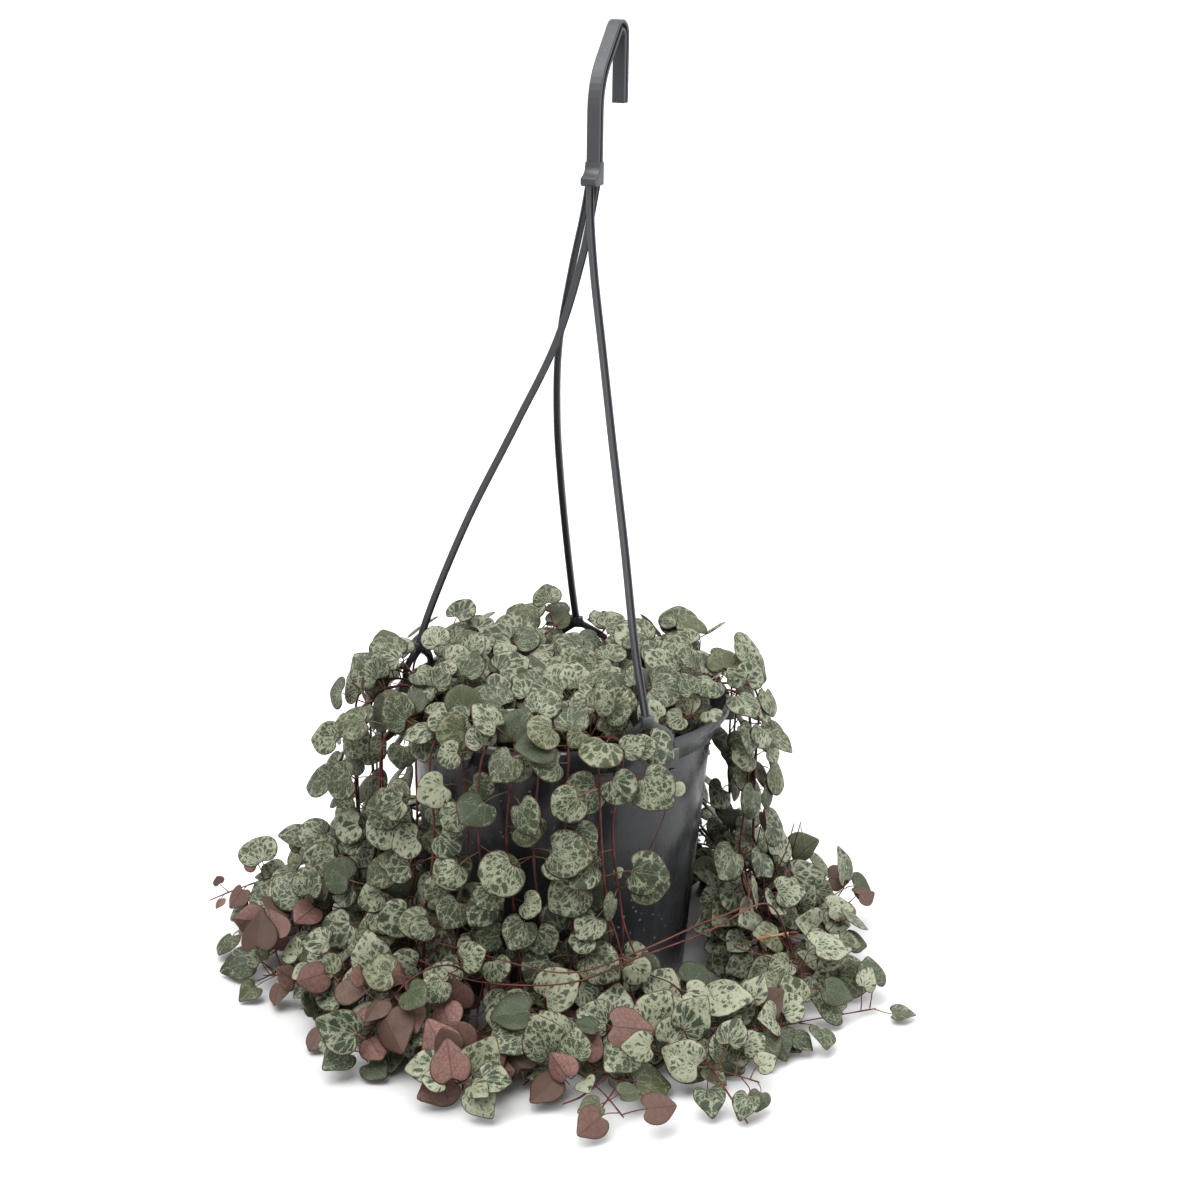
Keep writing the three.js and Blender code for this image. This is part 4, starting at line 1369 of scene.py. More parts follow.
    def _meets(self, disc: Disc, own_edges: Array) -> bool:
        """Tells whether a blade crosses another one, or lies closer to it than their thickness.

        Args:
            disc: The blade's disc.
            own_edges: Its sample points.

        Returns:
            True if it does.
        """
        kept, least = slice(self.disc_count), 2 * self.slab
        between, reaches = self.centres[kept] - disc.centre, self.reaches[kept]
        close = np.sqrt(np.sum(between * between, axis=1)) <= reaches + disc.radius + least
        if not close.any():
            return False
        centres, normals, edges, between, reaches = (
            table[close] for table in (self.centres[kept], self.normals[kept], self.edges[kept], between, reaches))
        gaps = to_disc(own_edges[None] - centres[:, None], normals[:, None], reaches[:, None])
        if np.any(gaps < least) or np.any(to_disc(edges - disc.centre, disc.normal, disc.radius) < least):
            return True
        along = np.cross(disc.normal, normals)
        size = np.sum(along * along, axis=1)
        tilted = size >= 0.01
        if not tilted.any():
            return False
        along = along[tilted] / np.sqrt(size[tilted])[:, None]
        centres, normals, between, reaches = (table[tilted] for table in (centres, normals, between, reaches))
        in_own, in_other = np.cross(disc.normal, along), np.cross(normals, along)
        reach_own = np.sum(between * normals, axis=1) / np.sum(in_own * normals, axis=1)
        reach_other = -(between @ disc.normal) / (in_other @ disc.normal)
        crossing = (np.abs(reach_own) < disc.radius) & (np.abs(reach_other) < reaches)
        half_own = np.sqrt(np.maximum(0.0, disc.radius ** 2 - reach_own ** 2))
        half_other = np.sqrt(np.maximum(0.0, reaches ** 2 - reach_other ** 2))
        middle_own = along @ disc.centre + reach_own * np.sum(in_own * along, axis=1)
        middle_other = np.sum(centres * along, axis=1) + reach_other * np.sum(in_other * along, axis=1)
        return bool(np.any(crossing & (np.abs(middle_own - middle_other) < half_own + half_other)))


# --- how the plant grows ---


class Zone(Enum):
    """A stem grows over the soil, hangs down the pot and then lies round its foot."""

    TOP = "top"
    HANGING = "hanging"
    LYING = "lying"


ByZone = dict[Zone, float]


def by_zone(top: object, hanging: object, lying: object) -> dict:
    """A field with a value for each zone."""
    return field(default_factory=lambda: {Zone.TOP: top, Zone.HANGING: hanging, Zone.LYING: lying})


@dataclass
class Leaf:
    """A placed leaf: where its stalk starts and ends, the way it leaves, and its blade."""

    root: Array
    base: Array
    stalk_way: Array
    width: float
    disc: Disc
    zone: Zone
    flipped: bool
    fold: float = 0.0


@dataclass
class Node:
    """A place on a stem where a leaf pair stands."""

    point: Array
    tangent: Array
    size: float
    flipped: bool = False


@dataclass
class Leafing:
    """How a stem bears its leaves.

    first is the run before the first pair, size the width of a blade, flips the share of the lying leaves that
    are turned over, and tip the share of the full size that the last leaves have.
    """

    first: float
    size: float
    flips: float
    tip: float


@dataclass(frozen=True)
class Sprig:
    """A bare or nearly bare shoot, given by places as an angle, a radius and a height.

    radii are the thicknesses that it passes through, red and dry its colour, and pairs the width of the leaves
    that it bears.  A loose one starts at its first place, and the others grow from the nearest stem.
    """

    places: tuple[Place, ...]
    radii: tuple[float, ...]
    red: float = 0.95
    dry: float = 0.0
    pairs: float = 0.0
    loose: bool = False


@dataclass(frozen=True)
class Patch:
    """A part of the plant that finer growth fills, given by ranges of angle, radius and height.

    tries is the number of places that are tried, size the range of the blades' widths, lean how far the blades
    turn away from the pot, flips the share that are turned over, spread how much their ways differ, and reach
    how far a blade may stand from its stem.
    """

    tries: int
    angles: tuple[float, float]
    radii: tuple[float, float]
    heights: tuple[float, float]
    size: tuple[float, float]
    lean: float
    flips: float
    spread: float
    reach: float


@dataclass
class Stem:
    """A stem with its straight line, its smooth curve and its leaves."""

    name: str
    owner: int
    line: Route
    curve: Route
    leafing: Leafing
    leaves: list[Leaf] = field(default_factory=list)
    shoots: list[Route] = field(default_factory=list)
    sprigs: list[tuple[Route, Sprig]] = field(default_factory=list)
    rooted: int = 6

    @property
    def lines(self) -> list[Route]:
        """The smooth curve above the compost, and the shoots."""
        return [self.curve[self.rooted:], *self.shoots]

    @property
    def trails(self) -> bool:
        """True if the stem trails over the rim."""
        return self.name.startswith("trailing")


@dataclass
class Habit:
    """The sizes that the plant grows by."""

    radius: float = 1.0
    step: float = 21.0
    shortest: float = 3.0
    bend: float = 0.85
    fine_parts: int = 12
    root_depth: float = 8.0
    first_leaf: float = 20.0
    attempts: int = 60
    seed: int = 20731
    width: float = 19.0
    width_spread: float = 2.5
    reach: float = 0.56
    middle: float = 0.36
    stalk_radius: float = 0.5
    root_offset: float = 0.9
    stalk: float = 5.0
    stalk_spread: float = 6.0
    flips: float = 0.2
    stray: float = 0.02
    last_leaves: float = 0.85
    tip_size: float = 0.75
    turn: tuple[float, float] = (0.25, 0.75)
    straightest: float = 0.1
    leaf_attempts: int = 26
    hanging_above: float = 34.0
    crown_count: int = 12
    crown_radius: float = 36.0
    crown_turn: float = 137.5
    crown_height: float = 127.0
    crown_lean: float = 20.0
    crown_first: float = 18.0
    young_scale: float = 0.42
    young_first: float = 70.0
    lean: ByZone = by_zone(0.25, 1.5, 0.6)
    sunward: ByZone = by_zone(0.5, 0.8, 0.6)
    run: ByZone = by_zone(14.0, 45.0, 25.0)
    light: Place = (0.0, -1.0, 0.0)
    viewer: Place = (0.0, -907.0, 442.0)
    legs_in_sight: tuple[int, ...] = (2,)
    leg_height: float = 1.5
    apex_height: float = 8.0
    sight_margin: float = 1.0
    trailing: tuple[tuple[float, ...], ...] = (
        (-72, 50, 76, 48, 136, 10), (-80, 40, 81, 38, 124, 16), (-88, 52, 75, 30, 150, 12),
        (-96, 44, 80, 16, 150, 10), (-104, 52, 76, 28, 126, 20), (-112, 42, 82, 8, 134, 12),
        (-120, 52, 76, -8, 112, 20), (-128, 46, 82, -14, 122, 10), (-137, 52, 77, -18, 108, 20),
        (-146, 42, 84, -16, 128, 14), (-155, 52, 78, -24, 118, 26), (-164, 46, 86, -16, 136, 18),
        (-173, 52, 78, -24, 125, 34), (178, 42, 84, -12, 158, 26, 0.3), (168, 52, 77, -18, 125, 16),
        (143, 50, 80, 24, 125, 14), (133, 42, 76, -24, 124, 20), (122, 52, 82, 22, 125, 10),
        (110, 44, 77, -26, 130, 16), (98, 52, 81, 26, 142, 12), (68, 46, 77, -26, 136, 14),
        (57, 52, 82, 24, 118, 20), (43, 44, 77, -24, 122, 12), (29, 52, 82, -18, 126, 30),
        (16, 46, 76, -28, 118, 24), (4, 52, 81, -22, 116, 14), (-8, 46, 77, -26, 116, 20),
    )


def fine_curve(points: Points, parts: int) -> Route:
    """Points close together on a smooth curve through the given points.

    Args:
        points: The points that the curve passes through.
        parts: How many parts each span has.

    Returns:
        The curve's points.
    """
    fine = []
    last = len(points) - 1
    for k in range(last):
        ends = [points[min(last, max(0, k - 1 + i))] for i in range(4)]
        for part in range(parts):
            t = part / parts
            weights = (((2 - t) * t - 1) * t, (3 * t - 5) * t * t + 2, ((4 - 3 * t) * t + 1) * t, (t - 1) * t * t)
            fine.append(sum((end * (weight / 2) for weight, end in zip(weights, ends)), np.zeros(3)))
    return [*fine, points[-1]]


def stem_line(points: Route, habit: Habit) -> Route:
    """The straights of a stem along the smooth curve through its points.

    Args:
        points: The route's points, from the root's lower end.
        habit: The plant's sizes.

    Returns:
        The corners between the straights.
    """
    fine = fine_curve(points[1:], habit.fine_parts)
    line, start = [points[0], fine[0]], UP
    for here, ahead in zip(fine[1:-1], fine[2:]):
        heading = unit(ahead - here)
        run = distance(here, line[-1])
        if run > habit.step or (run > habit.shortest and float(heading @ start) < habit.bend):
            line.append(here)
            start = heading
    if distance(fine[-1], line[-1]) < habit.shortest:
        line.pop()
    return [*line, fine[-1]]


@dataclass
class Plant:
    """Grows every stem and leaf, each clear of the others, and then the finer growth between them.

    bares are ranges of angle, radius and height that stay without leaves, large the angle, radius, height and
    width of single leaves, and patches and sprigs the finer growth.
    """

    pot: Pot
    hanger: Hanger
    soil_top: float
    habit: Habit = field(default_factory=Habit)
    extra_seed: int = 9127
    strand_room: float = 1.55
    leg_room: float = 0.4
    leg_bottom: float = 106.0
    shoot_runs: tuple[float, ...] = (38.0, 56.0)
    fill_crowns: int = 26
    fill_radius: float = 56.0
    fill_first: float = 14.0
    pair_attempts: int = 16
    single: tuple[float, ...] = (2.0, 3.0, 4.0, 0.5)
    light: Place = (0.02, -0.62, 0.78)
    extra_run: ByZone = by_zone(9.0, 22.0, 13.0)
    extra_size: dict[Zone, tuple[float, float]] = by_zone((15.0, 20.0), (14.0, 20.0), (17.0, 22.5))
    extra_flips: ByZone = by_zone(0.0, 0.0, 0.08)
    extra_lean: ByZone = by_zone(0.2, 0.9, 0.35)
    extra_jitter: ByZone = by_zone(0.05, 0.15, 0.4)
    bares: tuple[tuple[tuple[float, float], ...], ...] = (
        ((-79.0, -44.0), (0.0, 100.0), (36.0, 116.0)),
        ((-150.0, -44.0), (70.0, 100.0), (97.0, 119.0)),
        ((-58.0, -30.0), (64.0, 95.0), (96.0, 127.0)),
        ((-38.0, -14.0), (86.0, 118.0), (20.0, 44.0)),
    )
    large: tuple[tuple[float, float, float, float], ...] = (
        (-88, 75, 51, 22.5), (-50, 81, 32, 21), (-47, 68, 32, 18), (-54, 102, 16, 22), (-46, 110, 16, 22.5),
        (-38, 117, 14, 22), (-17, 128, 13, 21), (-94, 79, 26, 20), (-101, 82, 20, 21), (-113, 82, 60, 20),
    )
    patches: tuple[Patch, ...] = (
        Patch(1700, (0, 360), (0, 64), (113, 136), (16, 21), 0.12, 0.0, 0.16, 20),
        Patch(420, (-168, -48), (54, 84), (106, 131), (15, 20), 0.45, 0.0, 0.25, 18),
        Patch(90, (-45, 25), (74, 92), (30, 112), (14, 19), 0.7, 0.04, 0.35, 15),
        Patch(200, (-44, -18), (62, 84), (5, 34), (15, 20), 0.7, 0.0, 0.4, 20),
        Patch(400, (-170, 10), (62, 84), (8, 36), (16, 21), 0.8, 0.08, 0.35, 16),
        Patch(200, (-25, 30), (60, 84), (4, 30), (15, 20), 0.6, 0.0, 0.4, 20),
        Patch(160, (172, 200), (100, 132), (25, 55), (17, 21), 0.2, 0.9, 0.5, 22),
        Patch(180, (-165, -125), (84, 122), (7, 34), (17, 22), 0.3, 0.3, 0.8, 17),
        Patch(360, (-128, -98), (90, 140), (5, 28), (18, 23), 0.3, 0.55, 0.6, 17),
        Patch(500, (-100, -50), (84, 132), (7, 28), (18, 23), 0.3, 0.1, 0.45, 17),
        Patch(200, (-50, 15), (82, 128), (8, 36), (17, 22), 0.35, 0.12, 0.7, 17),
        Patch(90, (150, 200), (84, 122), (8, 42), (16, 22), 0.3, 0.4, 0.8, 17),
        Patch(220, (40, 150), (66, 115), (8, 36), (15, 20), 0.6, 0.12, 0.5, 17),
        Patch(900, (-170, 20), (60, 112), (2, 12), (16, 22), 0.1, 0.1, 0.3, 22),
    )
    sprigs: tuple[Sprig, ...] = (
        Sprig(((-28, 92, 44), (-50, 94, 42), (-70, 99, 41), (-88, 101, 39), (-106, 98, 36), (-124, 92, 32)),
              (0.75, 0.6, 0.5)),
        Sprig(((-24, 90, 38), (-46, 90, 37), (-66, 93, 37), (-84, 96, 35), (-100, 94, 33)), (0.75, 0.6, 0.5)),
        Sprig(((-32, 88, 50), (-52, 92, 48), (-72, 96, 44), (-90, 98, 42), (-112, 96, 42), (-135, 90, 40)),
              (0.7, 0.55, 0.45)),
        Sprig(((-168, 112, 30), (-162, 116, 16), (-147, 114, 10), (-131, 112, 7), (-122, 112, 6)),
              (0.65, 0.5, 0.5)),
        Sprig(((4, 88, 26), (8, 106, 26), (13, 126, 26), (17, 143, 25)), (0.55, 0.5, 0.45), 0.8),
        Sprig(((7, 88, 24), (4, 96, 44), (4, 100, 60)), (0.5, 0.4, 0.35), 0.8),
        Sprig(((11, 84, 26), (9, 90, 62)), (0.5, 0.4, 0.35), 0.9),
        Sprig(((20, 104, 30), (15, 107, 52)), (0.5, 0.4, 0.35), 0.85),
        Sprig(((-119, 90, 18), (-110, 112, 9), (-106, 128, 3)), (0.7, 0.6, 0.55), 1.0, 0.05),
        Sprig(((-122, 98, 16), (-116, 108, 8), (-113, 114, 3)), (0.6, 0.5, 0.5), 1.0, 0.05),
        Sprig(((-64, 124, 14), (-64, 146, 8), (-64, 162, 3)), (0.7, 0.6, 0.6), 1.0, 0.05),
        Sprig(((-82, 128, 13), (-86, 134, 8), (-90, 140, 3)), (0.65, 0.6, 0.55), 1.0, 0.05),
        Sprig(((-80, 130, 11), (-86, 151, 4)), (0.6, 0.55, 0.5), 1.0, 0.05),
        Sprig(((-170, 119, 22), (-173, 131, 18), (-170, 142, 14)), (0.3, 0.22, 0.16), 0.5, 0.2),
        Sprig(((18, 107, 26), (15, 111, 38), (12, 115, 45)), (0.4, 0.35, 0.3), 0.1),
        Sprig(((15, 111, 38), (18, 111, 47)), (0.35, 0.3), 0.1),
        Sprig(((-177, 82, 106), (-176, 88, 98), (-176, 89, 90), (-175, 88, 81)), (0.4, 0.3, 0.2), 0.9, 0.0, 5.0),
        Sprig(((-33, 86, 27), (-29, 88, 27), (-26, 90, 27)), (0.4, 0.4), 0.9),
        Sprig(((-26, 90, 27), (-25, 91.3, 27.1), (-24, 92.8, 27.3), (-23.2, 94.5, 27.6)),
              (0.5, 1.7, 1.5, 0.8), 1.0, 0.35, 0.0, True),
        Sprig(((-23.2, 94.5, 27.6), (-21.8, 98, 28), (-20.6, 101.5, 28.4)), (0.8, 0.85, 1.3), 0.9, 0.75, 0.0, True),
        Sprig(((-20.6, 101.5, 28.4), (-20.2, 103.4, 28.6), (-19.9, 105.2, 28.8)),
              (1.35, 1.5, 0.5), 1.0, 0.0, 0.0, True),
    )
    closer: float = 0.86
    finer_slab: float = 0.42
    finer: bool = False

    def grow(self) -> list[Stem]:
        """Grows the whole plant.

        Returns:
            The stems with their leaves, in the order of the CAD nodes, and then the ones that fill the middle.
        """
        self.random = Seeded(self.habit.seed)
        self.room = Room(self.pot, self.soil_top)
        self.stems: list[Stem] = []
        self.in_sight = self._places_in_sight()
        self._keep_hanger()
        self._add_stems()
        for stem in self.stems:
            for node in self._nodes(stem):
                self._pair(stem, node, self.habit.leaf_attempts)
        self.random = Seeded(self.extra_seed)
        self.finer = True
        self.room.loosen(self.closer, self.finer_slab)
        self._add_sprigs()
        self._fill_crown()
        self._add_shoots()
        self._fill_patches()
        for stem in self.stems:
            self._thicken(stem)
        return self.stems

    def _keep_hanger(self) -> None:
        """Keeps the hanger's strands and arches in the room."""
        pot, hanger = self.pot, self.hanger
        for index, angle in enumerate(hanger.used_angles()):
            self.room.add_line(hanger.strand_points(index), self.strand_room + hanger.gap, -1)
            apex = polar(angle, pot.arch_plane, pot.height + hanger.arch_rise + 1)
            for side in (-1, 1):
                aside = polar(angle + 90, side * pot.arch_span, 0.0)
                legs = [polar(angle, pot.arch_plane, z) + aside for z in (self.leg_bottom, pot.height + 4)]
                self.room.add_line([*legs, apex], hanger.leg_width / 2 + self.leg_room, -1)

    def _add_stems(self) -> None:
        """Finds the routes of the stems that the CAD nodes hold."""
        habit = self.habit
        young = Leafing(habit.young_first, habit.width * habit.young_scale, 0.0, habit.tip_size)
        self._route("young_stem", self._young_route, young)
        for k, row in enumerate(habit.trailing):
            tip = row[6] if len(row) > 6 else habit.tip_size
            leafing = Leafing(habit.first_leaf + 7 * (k % 2), habit.width, habit.flips, tip)
            self._route(f"trailing_stem_{k + 1:02d}", lambda vary, row=row: self._trailing_route(row, vary), leafing)
        for k in range(habit.crown_count):
            leafing = Leafing(habit.crown_first, habit.width, 0.0, habit.tip_size)
            self._route(f"crown_stem_{k + 1:02d}", lambda vary, k=k: self._crown_route(k, vary), leafing)

    def _looser(self, attempt: int, tries: float) -> Callable[[float], float]:
        """Gives numbers between minus and plus an amount that grows with the attempts."""
        return lambda amount: self.random.vary(amount) * (1 + attempt / tries)

    def _route(self, name: str, route: Callable[..., Route], leafing: Leafing, tries: float = 12) -> None:
        """Finds a free route for a stem and keeps it.

        Args:
            name: The stem's name.
            route: Gives the route's points from a source of varied numbers.
            leafing: How the stem bears its leaves.
            tries: How slowly the numbers vary more with the attempts.
        """
        owner, room, radius = len(self.stems), self.room, self.habit.radius
        skip = math.ceil((self.habit.root_depth + 4) / room.spacing)
        for attempt in range(self.habit.attempts):
            points = route(self._looser(attempt, tries))
            line = stem_line(points, self.habit)
            upper = spaced(line, room.spacing)[skip:]
            if room.off_pot(upper, radius + 0.3) and room.line_free(line, radius, owner):
                room.add_line(line, radius, owner)
                curve = [points[0], *fine_curve(points[1:], self.habit.fine_parts)]
                self.stems.append(Stem(name, owner, line, curve, leafing))
                return

    def _rooted(self, angle: float, radius: float) -> Route:
        """The first two points of a stem, below and above the top of the compost."""
        return [polar(angle, radius, self.soil_top - self.habit.root_depth), polar(angle, radius, self.soil_top + 2)]

    def _trailing_route(self, row: Sequence[float], vary: Callable[[float], float]) -> Route:
        """The route of a stem that trails over the rim, down the wall and out over the ground.

        Args:
            row: The crest's angle, the radii of the root and of the fall, the sweep, and the tip's radius and lift.
            vary: A source of varied numbers.

        Returns:
            The route's points.
        """
        crest, hole, hang, sweep, reach, lift = row[:6]
        top, rim = self.pot.height, self.pot.rim_radius
        hole_angle = crest + vary(2)
        crest_height = top + 4.5 + vary(1.5)
        hang_angle = crest + vary(2.5)
        side = math.copysign(1, sweep)

        def turn(share: float) -> float:
            """The angle a share of the way round the sweep."""
            return hang_angle + sweep * share + vary(3)

        def low(base: float, spread: float) -> float:
            """A height near the ground."""
            return max(1.6, base + vary(spread))

        return [
            *self._rooted(hole_angle, hole),
            polar(crest + vary(2), (hole + rim) / 2, top + 1.5 + vary(2)),
            polar(crest, rim, crest_height),
            polar(crest, hang + 1, top - 3 + vary(1.5)),
            polar(hang_angle, hang + 2 + vary(1.5), 84 + vary(4)),
            polar(hang_angle + 3 * side, hang + 1 + vary(2), 46 + vary(4)),
            polar(turn(0.12), hang + 7 + vary(3), low(13 + lift * 0.4, 4)),
            polar(turn(0.4), hang + (reach - hang) * 0.45, low(3 + lift, 3)),
            polar(turn(0.72), hang + (reach - hang) * 0.75, low(4 + lift * 0.6, 2)),
            polar(turn(1), reach + vary(4), low(5 + lift * 0.3, 3)),
        ]

    def _crown_route(self, index: int, vary: Callable[[float], float]) -> Route:
        """The route of a short stem in the middle of the pot.

        Args:
            index: The stem's number.
            vary: A source of varied numbers.

        Returns:
            The route's points.
        """
        habit = self.habit
        angle = habit.crown_turn * index + vary(5)
        radius = habit.crown_radius * math.sqrt((index + 0.4) / habit.crown_count)
        lean = habit.crown_lean + vary(4)
        return [
            *self._rooted(angle, radius),
            polar(angle + vary(8), radius + lean * 0.3, (self.soil_top + habit.crown_height) / 2 + 3),
            polar(angle + vary(12), radius + lean, habit.crown_height + vary(3)),
        ]

    def _young_route(self, vary: Callable[[float], float]) -> Route:
        """The route of the one thin young stem that hangs through the front arch.

        Args:
            vary: A source of varied numbers.

        Returns:
            The route's points.
        """
        angle, hole, crest, hang, drift, end = -61.0, 50.0, 124.0, 77.0, -11.0, 64.0
        top, rim = self.pot.height, self.pot.rim_radius
        return [
            *self._rooted(angle + 2, hole),
            polar(angle + 1, (hole + rim) / 2, top + 1),
            polar(angle, rim, crest),
            polar(angle, hang, top - 3 + vary(1)),
            polar(angle + 3, hang + 1, 96 + vary(1)),
            polar(angle + drift * 0.4, hang - 2, 72.0),
            polar(angle + drift, hang - 5, end + vary(2)),
        ]

    def _filling_route(self, index: int, vary: Callable[[float], float]) -> Route:
        """The route of a short stem that fills a gap in the middle of the pot.

        Args:
            index: The stem's number.
            vary: A source of varied numbers.

        Returns:
            The route's points.
        """
        random, farthest = self.random, self.fill_radius
        angle = self.habit.crown_turn * (index + 0.5) + vary(8)
        radius = farthest * math.sqrt((index + 0.5) / self.fill_crowns) + vary(3)
        radius = min(farthest - 1, max(3.0, radius))
        top = self.habit.crown_height + random.between(-6, 8)
        lean = 14 + random.vary(6)
        return [
            *self._rooted(angle, radius),
            polar(angle + random.vary(12), radius + lean * 0.3, (self.soil_top + top) / 2 + 2),
            polar(angle + random.vary(20), radius + lean, top),
        ]

    def _fill_crown(self) -> None:
        """Adds the short stems that fill the middle of the pot between the others."""
        before = len(self.stems)
        leafing = Leafing(self.fill_first, self.habit.width, 0.0, self.habit.tip_size)
        for k in range(self.fill_crowns):
            self._route(f"crown_fill_{k + 1:02d}", lambda vary, k=k: self._filling_route(k, vary), leafing, 8)
        log.info("crown stems that found room: %d of %d", len(self.stems) - before, self.fill_crowns)

    def zone(self, point: Array) -> Zone:
        """The zone that a point is in.

        Args:
            point: The point.

        Returns:
            Its zone.
        """
        if point[2] > self.soil_top and bearing(point)[1] < self.pot.rim_radius + 2:
            return Zone.TOP
        return Zone.HANGING if point[2] > self.habit.hanging_above else Zone.LYING

    def _facing(self, point: Array, flipped: bool) -> Array:
        """The way that a blade's upper face turns at a place on a stem.

        Args:
            point: The place.
            flipped: Whether the blade is turned over.

        Returns:
            The way, at length one.
        """
        zone = self.zone(point)
        face = UP + outwards(point) * self.habit.lean[zone] + np.array(self.habit.light) * self.habit.sunward[zone]
        return -unit(face) if flipped else unit(face)

    def _places_in_sight(self) -> Array:
        """The places on the arches that stay in sight from the front.

        Returns:
            The places, one in each row.
        """
        habit, pot, places = self.habit, self.pot, []
        for index, angle in enumerate(self.hanger.used_angles()):
            spots = [(self.hanger.leans[index], habit.apex_height)]
            if index in habit.legs_in_sight:
                spots += [(side * pot.arch_span, habit.leg_height) for side in (-1, 1)]
            for aside, height in spots:
                place = polar(angle, pot.arch_plane, pot.height + height)
                places.append(place + polar(angle + 90, aside, 0.0))
        return np.array(places)

    def _hides(self, disc: Disc) -> bool:
        """Tells whether a blade stands between the viewer and one of the places in sight.

        Args:
            disc: The blade's disc.

        Returns:
            True if it does.
        """
        to_places = self.in_sight - self.habit.viewer
        to_blade = disc.centre - self.habit.viewer
        shares = to_places @ to_blade / np.sum(to_places * to_places, axis=1)
        gaps = np.sqrt(np.sum((to_blade - to_places * shares[:, None]) ** 2, axis=1))
        return bool(np.any((shares < 1) & (gaps < disc.radius + self.habit.sight_margin)))

    def _in_bare(self, point: Array) -> bool:
        """True if a point is in a part of the pot's front that stays bare."""
        place = (*bearing(point), point[2])
        return any(all(low < p < high for p, (low, high) in zip(place, bare)) for bare in self.bares)

    def _nodes(self, stem: Stem) -> list[Node]:
        """The places on a stem where leaf pairs stand.

        Args:
            stem: The stem.

        Returns:
            The places, from its root to its tip.
        """
        line, leafing, habit = stem.line, stem.leafing, self.habit
        total, run, following, nodes = length_of(line), 0.0, leafing.first, []
        for k in range(1, len(line)):
            run += distance(line[k], line[k - 1])
            if run >= following or k == len(line) - 1:
                point = (line[k] + line[k - 1]) * 0.5
                late = (max(run / total, habit.last_leaves) - habit.last_leaves) / (1 - habit.last_leaves)
                spread = habit.width_spread * (2 * self.random() - 1) * (leafing.size / habit.width)
                size = (leafing.size + spread) * blend(1.0, leafing.tip, late)
                share = leafing.flips if self.zone(point) is Zone.LYING else habit.stray
                nodes.append(Node(point, unit(line[k] - line[k - 1]), size, self.random() < share))
                following = run + habit.run[self.zone(point)]
        return nodes

    def _try_leaf(self, node: Node, side: int, attempt: int, turn: Array | None) -> Leaf:
        """One try at placing a leaf of a pair.

        Args:
            node: Where the pair stands.
            side: -1 or 1, the leaf's side of the stem.
            attempt: The number of the try.
            turn: The way that the upper face turns, or None for the way of its zone.

        Returns:
            The leaf.
        """
        habit, random = self.habit, self.random
        loose = attempt / habit.leaf_attempts
        face = self._facing(node.point, node.flipped) if turn is None else turn
        normal = unit(face + random.jitter(blend(*habit.turn, loose)))
        across = cross(node.tangent, normal) * side
        if float(across @ across) < 0.04:
            across = np.array([random.vary(1), random.vary(1), 0.0])
        across = unit(across)
        way = across + node.tangent * (0.3 + random.vary(0.5))
        way = unit(way + self._facing(node.point, False) * (0.25 + 0.9 * random()))
        width = node.size * (1 - 0.35 * loose)
        stalk = (habit.stalk + (habit.stalk_spread + 6 * loose) * random()) * min(1, node.size / 12)
        root = node.point + node.tangent * (side * habit.root_offset)
        base = root + way * stalk
        axis = across + node.tangent * (0.45 + random.vary(0.6 + loose)) - UP * 0.25
        axis = unit(axis - normal * float(axis @ normal))
        reach = habit.reach * (self.closer if self.finer else 1)
        disc = Disc(base + axis * (habit.middle * width), normal, axis, reach * width)
        return Leaf(root, base, way, width, disc, self.zone(node.point), node.flipped)

    def _keep(self, stem: Stem, leaf: Leaf) -> bool:
        """Adds a leaf to a stem if it is free and hides none of the places in sight.

        Args:
            stem: The stem.
            leaf: The leaf.

        Returns:
            True if it is added.
        """
        stalk, radius, owner = [leaf.root, leaf.base], self.habit.stalk_radius, stem.owner
        if self._hides(leaf.disc) or not self.room.disc_free(leaf.disc, owner, leaf.root):
            return False
        if not self.room.line_free(stalk, radius, owner, 1):
            return False
        self.room.add_line(stalk, radius, owner)
        self.room.add_disc(leaf.disc)
        stem.leaves.append(leaf)
        return True

    def _pair(self, stem: Stem, node: Node, attempts: int, turn: Array | None = None) -> None:
        """Adds the two leaves of a pair, each at the first try that is free, or leaves it out.

        Args:
            stem: The stem.
            node: Where the pair stands.
            attempts: How often each is tried.
            turn: The way that the upper faces turn, or None for the way of their zone.
        """
        for side in (-1, 1):
            for attempt in range(attempts):
                leaf = self._try_leaf(node, side, attempt, turn)
                bent = float(leaf.stalk_way @ leaf.disc.axis) <= self.habit.straightest
                if bent or (self.finer and self._in_bare(leaf.disc.centre)):
                    continue
                if self._keep(stem, leaf):
                    break

    def _free(self, line: Points, radius: float, owner: int, first: int) -> bool:
        """True if a line is clear of the pot, and past its first points of other stems and of every blade."""
        return self.room.off_pot(np.array(line), radius) and self.room.line_free(line, radius, owner, first)

    def _add_sprigs(self) -> None:
        """Adds the bare shoots, each on the nearest trailing stem, and leaves out those that find no room."""
        hosts = [(stem, point) for stem in self.stems if stem.trails for point in stem.lines[0]]
        points = np.array([point for _, point in hosts])
        for sprig in self.sprigs:
            nearest = int(np.argmin(np.sum((points - polar(*sprig.places[0])) ** 2, axis=1)))
            host = hosts[nearest][0]
            route = self._sprig_route(sprig, points[nearest], host.owner)
            if route is None:
                log.info("no room for the sprig at %s", sprig.places[0])
                continue
            host.sprigs.append((route, sprig))
            self.room.add_line(route, max(sprig.radii), host.owner)
            if sprig.pairs:
                for before, after in zip(route[4::5], route[5::5]):
                    size = sprig.pairs * self.random.between(0.8, 1.2)
                    self._pair(host, Node(after, unit(after - before), size), self.pair_attempts)

